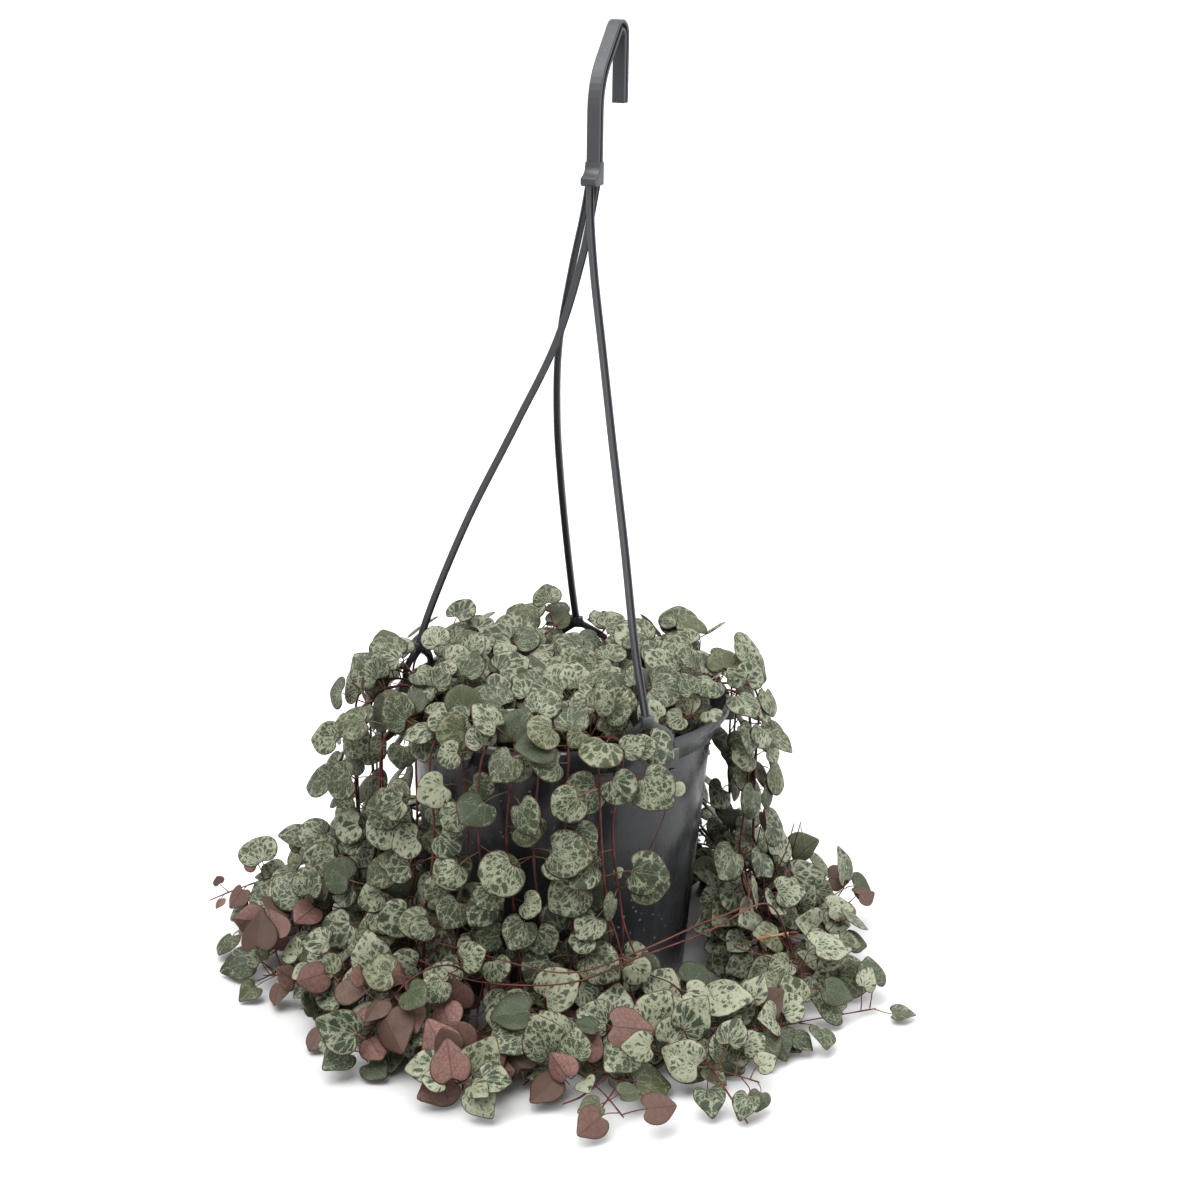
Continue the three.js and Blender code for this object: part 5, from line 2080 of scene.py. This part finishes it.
    def _sprig_route(self, sprig: Sprig, start: Array, owner: int) -> Route | None:
        """A free route for a bare shoot.

        Args:
            sprig: The shoot.
            start: The nearest place on a stem.
            owner: The number of that stem.

        Returns:
            The smooth route, or None if none is free.
        """
        places = [polar(*place) for place in sprig.places]
        if sprig.loose:
            return fine_curve(places, 3)
        for attempt in range(60):
            route = fine_curve([start, *(place + self.random.jitter(attempt / 8) for place in places)], 5)
            if self._free(route, max(sprig.radii), owner, 3):
                return route
        return None

    def _add_shoots(self) -> None:
        """Lets each trailing stem branch near the ground, so that the growth round the foot is dense."""
        for stem in [s for s in self.stems if s.trails]:
            sweep, reach = self.habit.trailing[int(stem.name[-2:]) - 1][3:5]
            for height, way in zip(self.shoot_runs, (-1, 1)):
                root = min(stem.curve[20:], key=lambda point, h=height: abs(point[2] - h))
                shoot = self._shoot(root, way * math.copysign(1, sweep), reach - 6, stem.owner)
                if shoot:
                    stem.shoots.append(shoot)
                    self.room.add_line(shoot, self.habit.radius, stem.owner)

    def _shoot(self, root: Array, side: float, farthest: float, owner: int) -> Route | None:
        """A free route for a side shoot.

        Args:
            root: Where it leaves the stem.
            side: The way round the pot that it takes, -1 or 1.
            farthest: The largest radius that it reaches.
            owner: The number of its stem.

        Returns:
            The smooth route, or None if none is free.
        """
        random = self.random
        angle, radius = bearing(root)
        for attempt in range(40):
            vary = self._looser(attempt, 10)
            sweep = side * random.between(6, 26)
            reach = random.between(radius + 22, farthest)
            lift = random.between(4, 34)
            points = [
                root,
                polar(angle + sweep * 0.1, radius + 3, root[2] - 9),
                polar(angle + sweep * 0.35, blend(radius, reach, 0.35), max(4, lift + vary(4))),
                polar(angle + sweep * 0.7, blend(radius, reach, 0.7), max(3, lift * 0.8 + vary(4))),
                polar(angle + sweep, reach, max(3, lift * 0.6 + vary(5))),
            ]
            curve = fine_curve(points, 6)
            if self._free(curve, self.habit.radius, owner, 2):
                return curve
        return None

    def _fill_patches(self) -> None:
        """Places the large single leaves and fills the patches, each leaf from the nearest stem."""
        young = "young_stem"
        hosts = [(s, point) for s in self.stems if s.name != young for line in s.lines for point in line]
        points = np.array([point for _, point in hosts])
        singles = []
        for place in self.large:
            ranges = [(middle - room, middle + room) for middle, room in zip(place, self.single)]
            singles.append(Patch(60, *ranges, 0.25, 0.0, 0.1, 30))
        for patch in (*singles, *self.patches):
            count = 0
            for _ in range(patch.tries):
                radius = math.sqrt(self.random.between(patch.radii[0] ** 2, patch.radii[1] ** 2))
                centre = polar(self.random.between(*patch.angles), radius, self.random.between(*patch.heights))
                gaps = np.sum((points - centre) ** 2, axis=1)
                gaps[gaps < 64] = 1e9
                nearest = int(np.argmin(gaps))
                if gaps[nearest] > patch.reach ** 2 or self._in_bare(centre):
                    continue
                if self._leaf_at(centre, points[nearest], hosts[nearest][0], patch):
                    count += 1
                    if patch in singles:
                        break
            log.info("patch at %s, %s: %d leaves", patch.angles, patch.radii, count)

    def _leaf_at(self, centre: Array, root: Array, stem: Stem, patch: Patch) -> bool:
        """Adds a leaf whose blade has its middle at a place, if it is free.

        Args:
            centre: The middle of the blade.
            root: Where the stalk leaves the stem.
            stem: The stem.
            patch: The patch that is being filled.

        Returns:
            True if it is added.
        """
        random = self.random
        flipped = random() < patch.flips
        face = np.array(self.light) + outwards(centre - np.array([0.0, 1e-3, 0.0])) * patch.lean
        face = unit(-face if flipped else face)
        for attempt in range(4):
            normal = unit(face + random.jitter(patch.spread))
            axis = centre - root + random.jitter(4.0) - UP * 1.5
            axis = axis - normal * float(axis @ normal)
            if float(axis @ axis) < 4:
                continue
            axis = unit(axis)
            width = random.between(*patch.size) * (1 - 0.1 * attempt)
            base = centre - axis * (self.habit.middle * width)
            length = distance(base, root)
            if length < 1.5 or float((base - root) @ axis) <= 0.1 * length:
                continue
            disc = Disc(centre, normal, axis, self.habit.reach * self.closer * width)
            leaf = Leaf(root, base, unit(base - root), width, disc, self.zone(centre), flipped)
            if self._keep(stem, leaf):
                leaf.fold = random.between(0.0, 0.45 if flipped else 0.12)
                return True
        return False

    def _thicken(self, stem: Stem) -> None:
        """Adds leaf pairs between the ones that a stem has, and along its shoots.

        Args:
            stem: The stem.
        """
        if stem.name == "young_stem":
            return
        random = self.random
        for curve in stem.lines:
            run, following, total = 0.0, 6.0, length_of(curve)
            for before, after in zip(curve, curve[1:]):
                run += distance(before, after)
                young_tip = stem.leafing.tip < 0.5 and run > 0.8 * total
                if run < following or after[2] < 0.5 or young_tip:
                    continue
                zone = self.zone(after)
                size = random.between(*self.extra_size[zone]) * (1 - 0.45 * max(0.0, (run / total - 0.7) / 0.3))
                flipped = random() < self.extra_flips[zone]
                following = run + self.extra_run[zone] * random.between(0.8, 1.3)
                lean = np.array(self.light) + outwards(after) * self.extra_lean[zone]
                turn = unit(lean + random.jitter(self.extra_jitter[zone]))
                node = Node(after, unit(after - before), size, flipped)
                self._pair(stem, node, self.pair_attempts, -turn if flipped else turn)


# --- leaves and stems as meshes ---


class Outline(Enum):
    """Distances from the middle of a blade one unit wide to its margin, every 22.5 degrees from its tip."""

    ROUND = (0.57, 0.445, 0.44, 0.47, 0.505, 0.54, 0.565, 0.53, 0.25)
    KIDNEY = (0.46, 0.41, 0.435, 0.48, 0.515, 0.54, 0.55, 0.50, 0.25)
    HEART = (0.67, 0.465, 0.43, 0.455, 0.50, 0.54, 0.565, 0.54, 0.27)


@dataclass
class BladeShape:
    """The shape of a leaf's blade, one unit wide, with its base at the origin and its tip along Y."""

    segments: int = 16
    rings: int = 4
    middle: float = 0.36
    crown: float = 0.062
    belly: float = 0.022
    valley: float = 0.02

    def mesh(self, outline: Outline) -> Mesh:
        """Makes the blade as a flattened ball pressed to its outline.

        Args:
            outline: Its outline.

        Returns:
            A closed mesh with the leaf's map.
        """
        bm = bmesh.new()
        bmesh.ops.create_uvsphere(bm, u_segments=self.segments, v_segments=self.rings, radius=1.0)
        for vert in bm.verts:
            share = math.hypot(vert.co.x, vert.co.y)
            turn = math.degrees(math.atan2(abs(vert.co.x), vert.co.y)) if share > 0.01 else 0.0
            reach = outline.value[round(turn / 22.5)] * (share if share > 0.99 else share * 0.98)
            x = math.copysign(reach * math.sin(math.radians(turn)), vert.co.x)
            y = self.middle + reach * math.cos(math.radians(turn))
            upper = vert.co.z > 0.01
            z = self.crown * vert.co.z * (1.25 - 0.25 * vert.co.z) if upper else self.belly * vert.co.z
            if upper and abs(x) < 0.02:
                z -= self.valley
            vert.co = (x, y, z)
        layer = bm.loops.layers.uv.new("leaf")
        for face in bm.faces:
            for loop in face.loops:
                loop[layer].uv = loop.vert.co.xy
        return as_mesh(bm, "blade")

    def marks(self, rest: Array) -> Array:
        """For each vertex of a blade, how near the margin it is and 1 above or 0 below.

        Args:
            rest: The vertices' places on the blade as it is made.

        Returns:
            Two numbers for each vertex.
        """
        upper = np.where(rest[:, 2] > 0.004, 1.0, np.where(rest[:, 2] < -0.004, 0.0, 0.5))
        radius = np.hypot(rest[:, 0], rest[:, 1] - self.middle)
        edge = np.where(upper == 0.5, 1.0, np.where(radius < 0.01, 0.0, 0.7))
        return np.column_stack([edge, upper])


@dataclass
class Tube:
    """A thin round stem or stalk: its points, the radius at each, and how red and dry it is."""

    points: Route
    radii: Sequence[float]
    red: float
    dry: float = 0.0

    def mesh(self) -> Mesh:
        """Makes the closed tube.

        Returns:
            Its mesh, without a map.
        """
        line = bpy.data.curves.new("tube", "CURVE")
        line.dimensions = "3D"
        line.bevel_depth = 1.0
        line.bevel_resolution = 0
        line.use_fill_caps = True
        spline = line.splines.new("POLY")
        spline.points.add(len(self.points) - 1)
        spline.points.foreach_set("co", np.array([[*p, 1.0] for p in self.points]).ravel())
        spline.points.foreach_set("radius", self.radii)
        holder = bpy.data.objects.new("tube", line)
        swept_line = bpy.data.meshes.new_from_object(holder)
        bm = bmesh.new()
        bm.from_mesh(swept_line)
        bmesh.ops.remove_doubles(bm, verts=bm.verts, dist=MERGED)
        for layer in list(bm.loops.layers.uv):
            bm.loops.layers.uv.remove(layer)
        bpy.data.objects.remove(holder)
        bpy.data.curves.remove(line)
        bpy.data.meshes.remove(swept_line)
        return as_mesh(bm)


class Gathering:
    """Puts a leafy piece together from meshes, each with its own marks on its vertices."""

    def __init__(self) -> None:
        """Starts with nothing."""
        self.bm = bmesh.new()
        self.bm.loops.layers.uv.new("leaf")
        self.growth: list[Array] = []
        self.state: list[Array] = []

    def add(self, mesh: Mesh, growth: Sequence[object], state: Sequence[object]) -> None:
        """Adds a mesh and removes it.

        Args:
            mesh: The mesh, in millimetres.
            growth: Four marks, each a number or a row of numbers for its vertices.
            state: Four more.
        """
        self.bm.from_mesh(mesh)
        for kept, marks in ((self.growth, growth), (self.state, state)):
            kept.append(np.column_stack([np.broadcast_to(mark, len(mesh.vertices)) for mark in marks]))
        bpy.data.meshes.remove(mesh)

    def piece(self, name: str, material: Material) -> Object:
        """Makes the piece.

        Args:
            name: Its name.
            material: Its material.

        Returns:
            The piece, with a live Subdivision Surface modifier.
        """
        made = to_piece(name, self.bm, material)
        for label, marks in (("growth", self.growth), ("state", self.state)):
            layer = made.data.color_attributes.new(label, "FLOAT_COLOR", "POINT")
            layer.data.foreach_set("color", np.concatenate(marks).astype(np.float32).ravel())
        smooth = made.modifiers.new("smooth", "SUBSURF")
        smooth.levels = smooth.render_levels = 1
        return made


@dataclass
class Foliage:
    """Dresses the stems with round tubes, stalks and marbled blades."""

    plant: Plant
    blade: BladeShape = field(default_factory=BladeShape)
    stem_radius: float = 0.68
    tip_radius: float = 0.34
    stalk_radius: float = 0.36
    stalk_shape: tuple[float, ...] = (1.5, 1.05, 0.95, 0.95, 1.0, 0.8)
    young: float = 0.55
    shoot: float = 0.8
    knot: float = 1.5
    small: float = 8.0
    # deep is the height in millimetres below which lying leaves are painted darker, as painted shade beneath the
    # others.
    deep: float = 12.0
    lowest: float = 0.3
    group: int = 7
    seed: int = 5077

    def build(self, finish: FoliageFinish) -> None:
        """Builds a piece for each stem, and one for each few of those that fill the middle.

        Args:
            finish: The material of all the foliage.
        """
        self.random = Seeded(self.seed)
        self.material = finish.material()
        self.blades = {outline: self.blade.mesh(outline) for outline in Outline}
        self.rest = {outline: self._coordinates(mesh) for outline, mesh in self.blades.items()}
        stems = self.plant.grow()
        fills = [stem for stem in stems if stem.name.startswith("crown_fill")]
        for stem in stems:
            if stem not in fills:
                self._piece(stem.name + "_leafy", [stem], stem.name)
        for k in range(0, len(fills), self.group):
            self._piece(f"crown_fill_{k // self.group + 1}", fills[k:k + self.group])
        for mesh in self.blades.values():
            bpy.data.meshes.remove(mesh)

    @staticmethod
    def _coordinates(mesh: Mesh) -> Array:
        """The coordinates of a mesh's vertices.

        Args:
            mesh: The mesh.

        Returns:
            One place in each row.
        """
        flat = np.zeros(3 * len(mesh.vertices))
        mesh.vertices.foreach_get("co", flat)
        return flat.reshape(-1, 3)

    def _piece(self, name: str, stems: Sequence[Stem], *nodes: str) -> None:
        """Builds one piece from stems and their leaves.

        Args:
            name: The piece's name.
            stems: The stems.
            nodes: The CAD nodes that it stands for.
        """
        made = Gathering()
        for stem in stems:
            for tube in self._tubes(stem):
                made.add(tube.mesh(), (self.random(), 0.5, 0.5, 0.0), (0.0, 0.0, tube.dry, tube.red))
            for leaf in stem.leaves:
                self._add_leaf(made, leaf)
        seat(made.piece(name, self.material), "foliage", *nodes)

    def _tubes(self, stem: Stem) -> list[Tube]:
        """The round tubes of a stem, its shoots and its leaves' stalks.

        Args:
            stem: The stem.

        Returns:
            The tubes.
        """
        thin = self.young if stem.name == "young_stem" else 1.0
        tubes = [self._stem_tube(stem.curve, stem.leaves, thin)]
        tubes += [self._stem_tube(curve, stem.leaves, self.shoot) for curve in stem.shoots]
        side_routes = [*stem.shoots, *(route for route, _ in stem.sprigs)]
        path = np.array([*stem.curve, *(p for curve in side_routes for p in curve)])
        tubes += [self._stalk_tube(leaf, path, thin) for leaf in stem.leaves]
        for route, sprig in stem.sprigs:
            shares = np.linspace(0, len(sprig.radii) - 1, len(route))
            radii = np.interp(shares, range(len(sprig.radii)), sprig.radii)
            tubes.append(Tube(route, radii, sprig.red, sprig.dry))
        return tubes

    def _stem_tube(self, curve: Route, leaves: Sequence[Leaf], thin: float) -> Tube:
        """The tube of a stem, thinner towards its tip and swollen where leaves stand.

        Args:
            curve: The stem's smooth curve.
            leaves: Its leaves.
            thin: How thick it is compared with a full-grown one.

        Returns:
            The tube.
        """
        points = [curve[0], *curve[1:-1:2], curve[-1]]
        roots = np.array([leaf.root for leaf in leaves]) if leaves else np.full((1, 3), 1e6)
        radii = []
        for k, point in enumerate(points):
            share = max(0.0, k / (len(points) - 1) - 0.5) * 2
            knot = self.knot if np.min(np.sum((roots - point) ** 2, axis=1)) < 2.6 else 1.0
            radii.append(blend(self.stem_radius, self.tip_radius, share) * thin * knot)
        return Tube(points, radii, 0.92 + 0.08 * self.random())

    def _stalk_tube(self, leaf: Leaf, path: Array, thin: float) -> Tube:
        """The curved stalk from the stem to the notch of a blade.

        Args:
            leaf: The leaf.
            path: The points of its stem.
            thin: How thick it is compared with a full-grown one.

        Returns:
            The tube.
        """
        start = path[int(np.argmin(np.sum((path - leaf.root) ** 2, axis=1)))]
        if distance(start, leaf.root) > 6:
            start = leaf.root
        end = leaf.base + leaf.disc.axis * (0.10 * leaf.width)
        length = distance(start, leaf.base)
        first = start + leaf.stalk_way * (0.5 * length)
        second = leaf.base - leaf.disc.axis * (0.3 * length)
        points = []
        for t in np.linspace(0, 1, len(self.stalk_shape)):
            s = 1 - t
            points.append(start * s ** 3 + first * (3 * s * s * t) + second * (3 * s * t * t) + end * t ** 3)
        radius = self.stalk_radius * min(1.0, 0.6 + leaf.width / 40) * (0.75 + 0.25 * thin)
        return Tube(points, [radius * r for r in self.stalk_shape], self.random.between(0.45, 1.0))

    def _choose(self, leaf: Leaf) -> tuple[Outline, float, float, float]:
        """Chooses how a leaf looks, and paints shade on the lying leaves low on the ground.

        Args:
            leaf: The leaf.

        Returns:
            Its outline, how silvery and how olive it is, and how flushed below.
        """
        random = self.random
        pick, kind = random(), random()
        if leaf.zone is Zone.LYING:
            outline = Outline.HEART if pick < 0.65 else Outline.ROUND
            silver = random.between(0.55, 0.8) if kind < 0.4 else random.between(0.2, 0.55)
            flush = random.between(0.0, 1.0)
        else:
            outline = Outline.KIDNEY if pick < 0.45 else Outline.ROUND
            silver = random.between(0.55, 0.8) if kind < 0.08 else random.between(0.0, 0.45)
            flush = random.between(0.3, 0.8)
        if kind > 0.94:
            silver = -0.4
        if leaf.width < self.small:
            silver = 1.0
        # Painted shade: lying leaves low on the ground get a less silvery, darker tone and a less flushed underside.
        elif leaf.zone is Zone.LYING and leaf.base[2] < self.deep:
            silver, flush = random.between(-0.3, 0.3), flush * 0.5
        return outline, silver, max(0.0, random() - 0.8) * 2.6, flush

    def _bent(self, leaf: Leaf, rest: Array) -> Array:
        """The places of a blade's vertices, folded, curled and twisted in its own way.

        Args:
            leaf: The leaf.
            rest: The vertices' places on the blade as it is made.

        Returns:
            One place in each row.
        """
        lying = leaf.zone is Zone.LYING
        fold = self.random.between(-0.12, 0.34) if lying else self.random.between(-0.16, 0.10)
        curl = self.random.between(-0.05, 0.26)
        twist = self.random.vary(0.12)
        across, away, lift = rest[:, 0], rest[:, 1] - self.blade.middle, rest[:, 2].copy()
        lift += (fold + leaf.fold) * (np.abs(across) - 0.2)
        lift -= curl * away * np.abs(away)
        lift += twist * across * away
        lift -= 0.10 * np.maximum(0.0, across ** 2 + away ** 2 - 0.1)
        normal, side = leaf.disc.normal, leaf.disc.side
        if leaf.flipped and not lying:
            normal, side = -normal, -side
        thick = leaf.width * (0.75 + 0.25 * self.plant.habit.width / leaf.width)
        placed = leaf.base + rest[:, :1] * leaf.width * side + rest[:, 1:2] * leaf.width * leaf.disc.axis
        placed = placed + lift[:, None] * thick * normal
        sunk = max(0.0, float(np.max((self.lowest - placed[:, 2]) / np.clip(rest[:, 1], 0.25, 1.0))))
        placed[:, 2] = np.maximum(placed[:, 2] + sunk * np.clip(rest[:, 1], 0.0, 1.0), self.lowest / 3)
        return placed

    def _add_leaf(self, made: Gathering, leaf: Leaf) -> None:
        """Adds a blade to a piece.

        Args:
            made: The piece.
            leaf: The leaf.
        """
        outline, silver, olive, flush = self._choose(leaf)
        rest = self.rest[outline]
        mesh = self.blades[outline].copy()
        if float(cross(leaf.disc.side, leaf.disc.axis) @ leaf.disc.normal) < 0:
            mesh.flip_normals()
        mesh.vertices.foreach_set("co", self._bent(leaf, rest).ravel())
        loops = mesh.uv_layers["leaf"].data
        flat = np.zeros(2 * len(loops), np.float32)
        loops.foreach_get("uv", flat)
        loops.foreach_set("uv", flat * (leaf.width / 10))
        edge, upper = self.blade.marks(rest).T
        made.add(mesh, (self.random(), silver, upper, 1.0), (edge, olive, 0.0, flush))


# --- the studio ---


@dataclass
class Studio:
    """The pale floor, the soft light and the camera."""

    camera_place: Place = (0.0, -0.90721, 0.44251)
    camera_target: Place = (0.01503, 0.0, 0.1606)
    camera_roll: float = 1.0
    lens: float = 69.41
    sensor: float = 36.0
    floor_size: float = 40.0
    floor_shade: float = 0.5
    world_light: float = 0.62
    exposure: float = 0.25
    look: str = "Medium High Contrast"
    sun_width: float = 50.0
    lamp_size: float = 0.5
    lamp_target: Place = (0.0, 0.0, 0.1)

    def build(self) -> None:
        """Builds the whole studio."""
        self._floor()
        self._camera()
        self._world()
        sun = {"angle": math.radians(self.sun_width)}
        self._lamp("key", "SUN", (-0.3, -0.42, 1.0), (0.0, 0.0, 0.0), {"energy": 3.2, **sun})
        self._lamp("back", "SUN", (0.35, 0.45, 1.0), (0.0, 0.0, 0.0), {"energy": 1.2, **sun})
        self._lamp("strip", "AREA", (1.0, -0.25, 0.35), self.lamp_target, {"energy": 5.0, "size": self.lamp_size})
        view = bpy.context.scene.view_settings
        view.view_transform, view.look, view.exposure = "Standard", self.look, self.exposure

    def _floor(self) -> None:
        """A plain pale floor."""
        bm = bmesh.new()
        bmesh.ops.create_grid(bm, x_segments=1, y_segments=1, size=self.floor_size / 2)
        mesh = as_mesh(bm, "floor")
        colour = (*[self.floor_shade] * 3, 1.0)
        mesh.materials.append(MaterialKit("floor").finish({"Base Color": colour, "Roughness": 0.9}))
        linked("floor", mesh)

    def _camera(self) -> None:
        """The camera, turned a little about its own axis."""
        data = bpy.data.cameras.new("camera")
        data.lens, data.sensor_width = self.lens, self.sensor
        camera = linked("camera", data)
        place = Vector(self.camera_place)
        ahead = (Vector(self.camera_target) - place).normalized()
        right = ahead.cross(Vector((0, 0, 1))).normalized()
        above = right.cross(ahead)
        roll = math.radians(self.camera_roll)
        x = right * math.cos(roll) + above * math.sin(roll)
        y = above * math.cos(roll) - right * math.sin(roll)
        turn = Matrix((x, y, -ahead)).transposed().to_4x4()
        camera.matrix_world = Matrix.Translation(place) @ turn
        bpy.context.scene.camera = camera

    def _world(self) -> None:
        """An even white surrounding."""
        world = bpy.data.worlds.new("studio")
        bpy.context.scene.world = world
        world.use_nodes = True
        background = world.node_tree.nodes["Background"]
        background.inputs["Color"].default_value = (1.0, 1.0, 1.0, 1.0)
        background.inputs["Strength"].default_value = self.world_light

    @staticmethod
    def _lamp(name: str, kind: str, place: Place, target: Place, settings: Settings) -> None:
        """A soft light.

        Args:
            name: Its name.
            kind: SUN for one that is as strong everywhere, or AREA for a square lamp.
            place: Where it stands, in metres, or the way that a sun comes from.
            target: Where it looks.
            settings: Its power and its size or angle.
        """
        data = bpy.data.lights.new(name, kind)
        for setting, value in settings.items():
            setattr(data, setting, value)
        lamp = linked(name, data)
        lamp.location = place
        lamp.rotation_mode = "QUATERNION"
        lamp.rotation_quaternion = (Vector(target) - Vector(place)).to_track_quat("-Z", "Y")


def main() -> None:
    """Builds the string of hearts around its frame."""
    logging.basicConfig(level=logging.INFO, format="%(message)s")
    Studio().build()
    pot = Pot()
    pot.build(PlasticFinish("pot plastic", (0.018, 0.0195, 0.0215), (0.050, 0.053, 0.057), 0.26, 1.0))
    hanger = Hanger(pot)
    hanger.build(PlasticFinish("hanger plastic", (0.035, 0.0385, 0.043), (0.060, 0.064, 0.070), 0.45, 0.25))
    compost = Compost(pot)
    compost.build(CompostFinish())
    Foliage(Plant(pot, hanger, compost.top)).build(FoliageFinish())


if __name__ == "__main__":
    main()
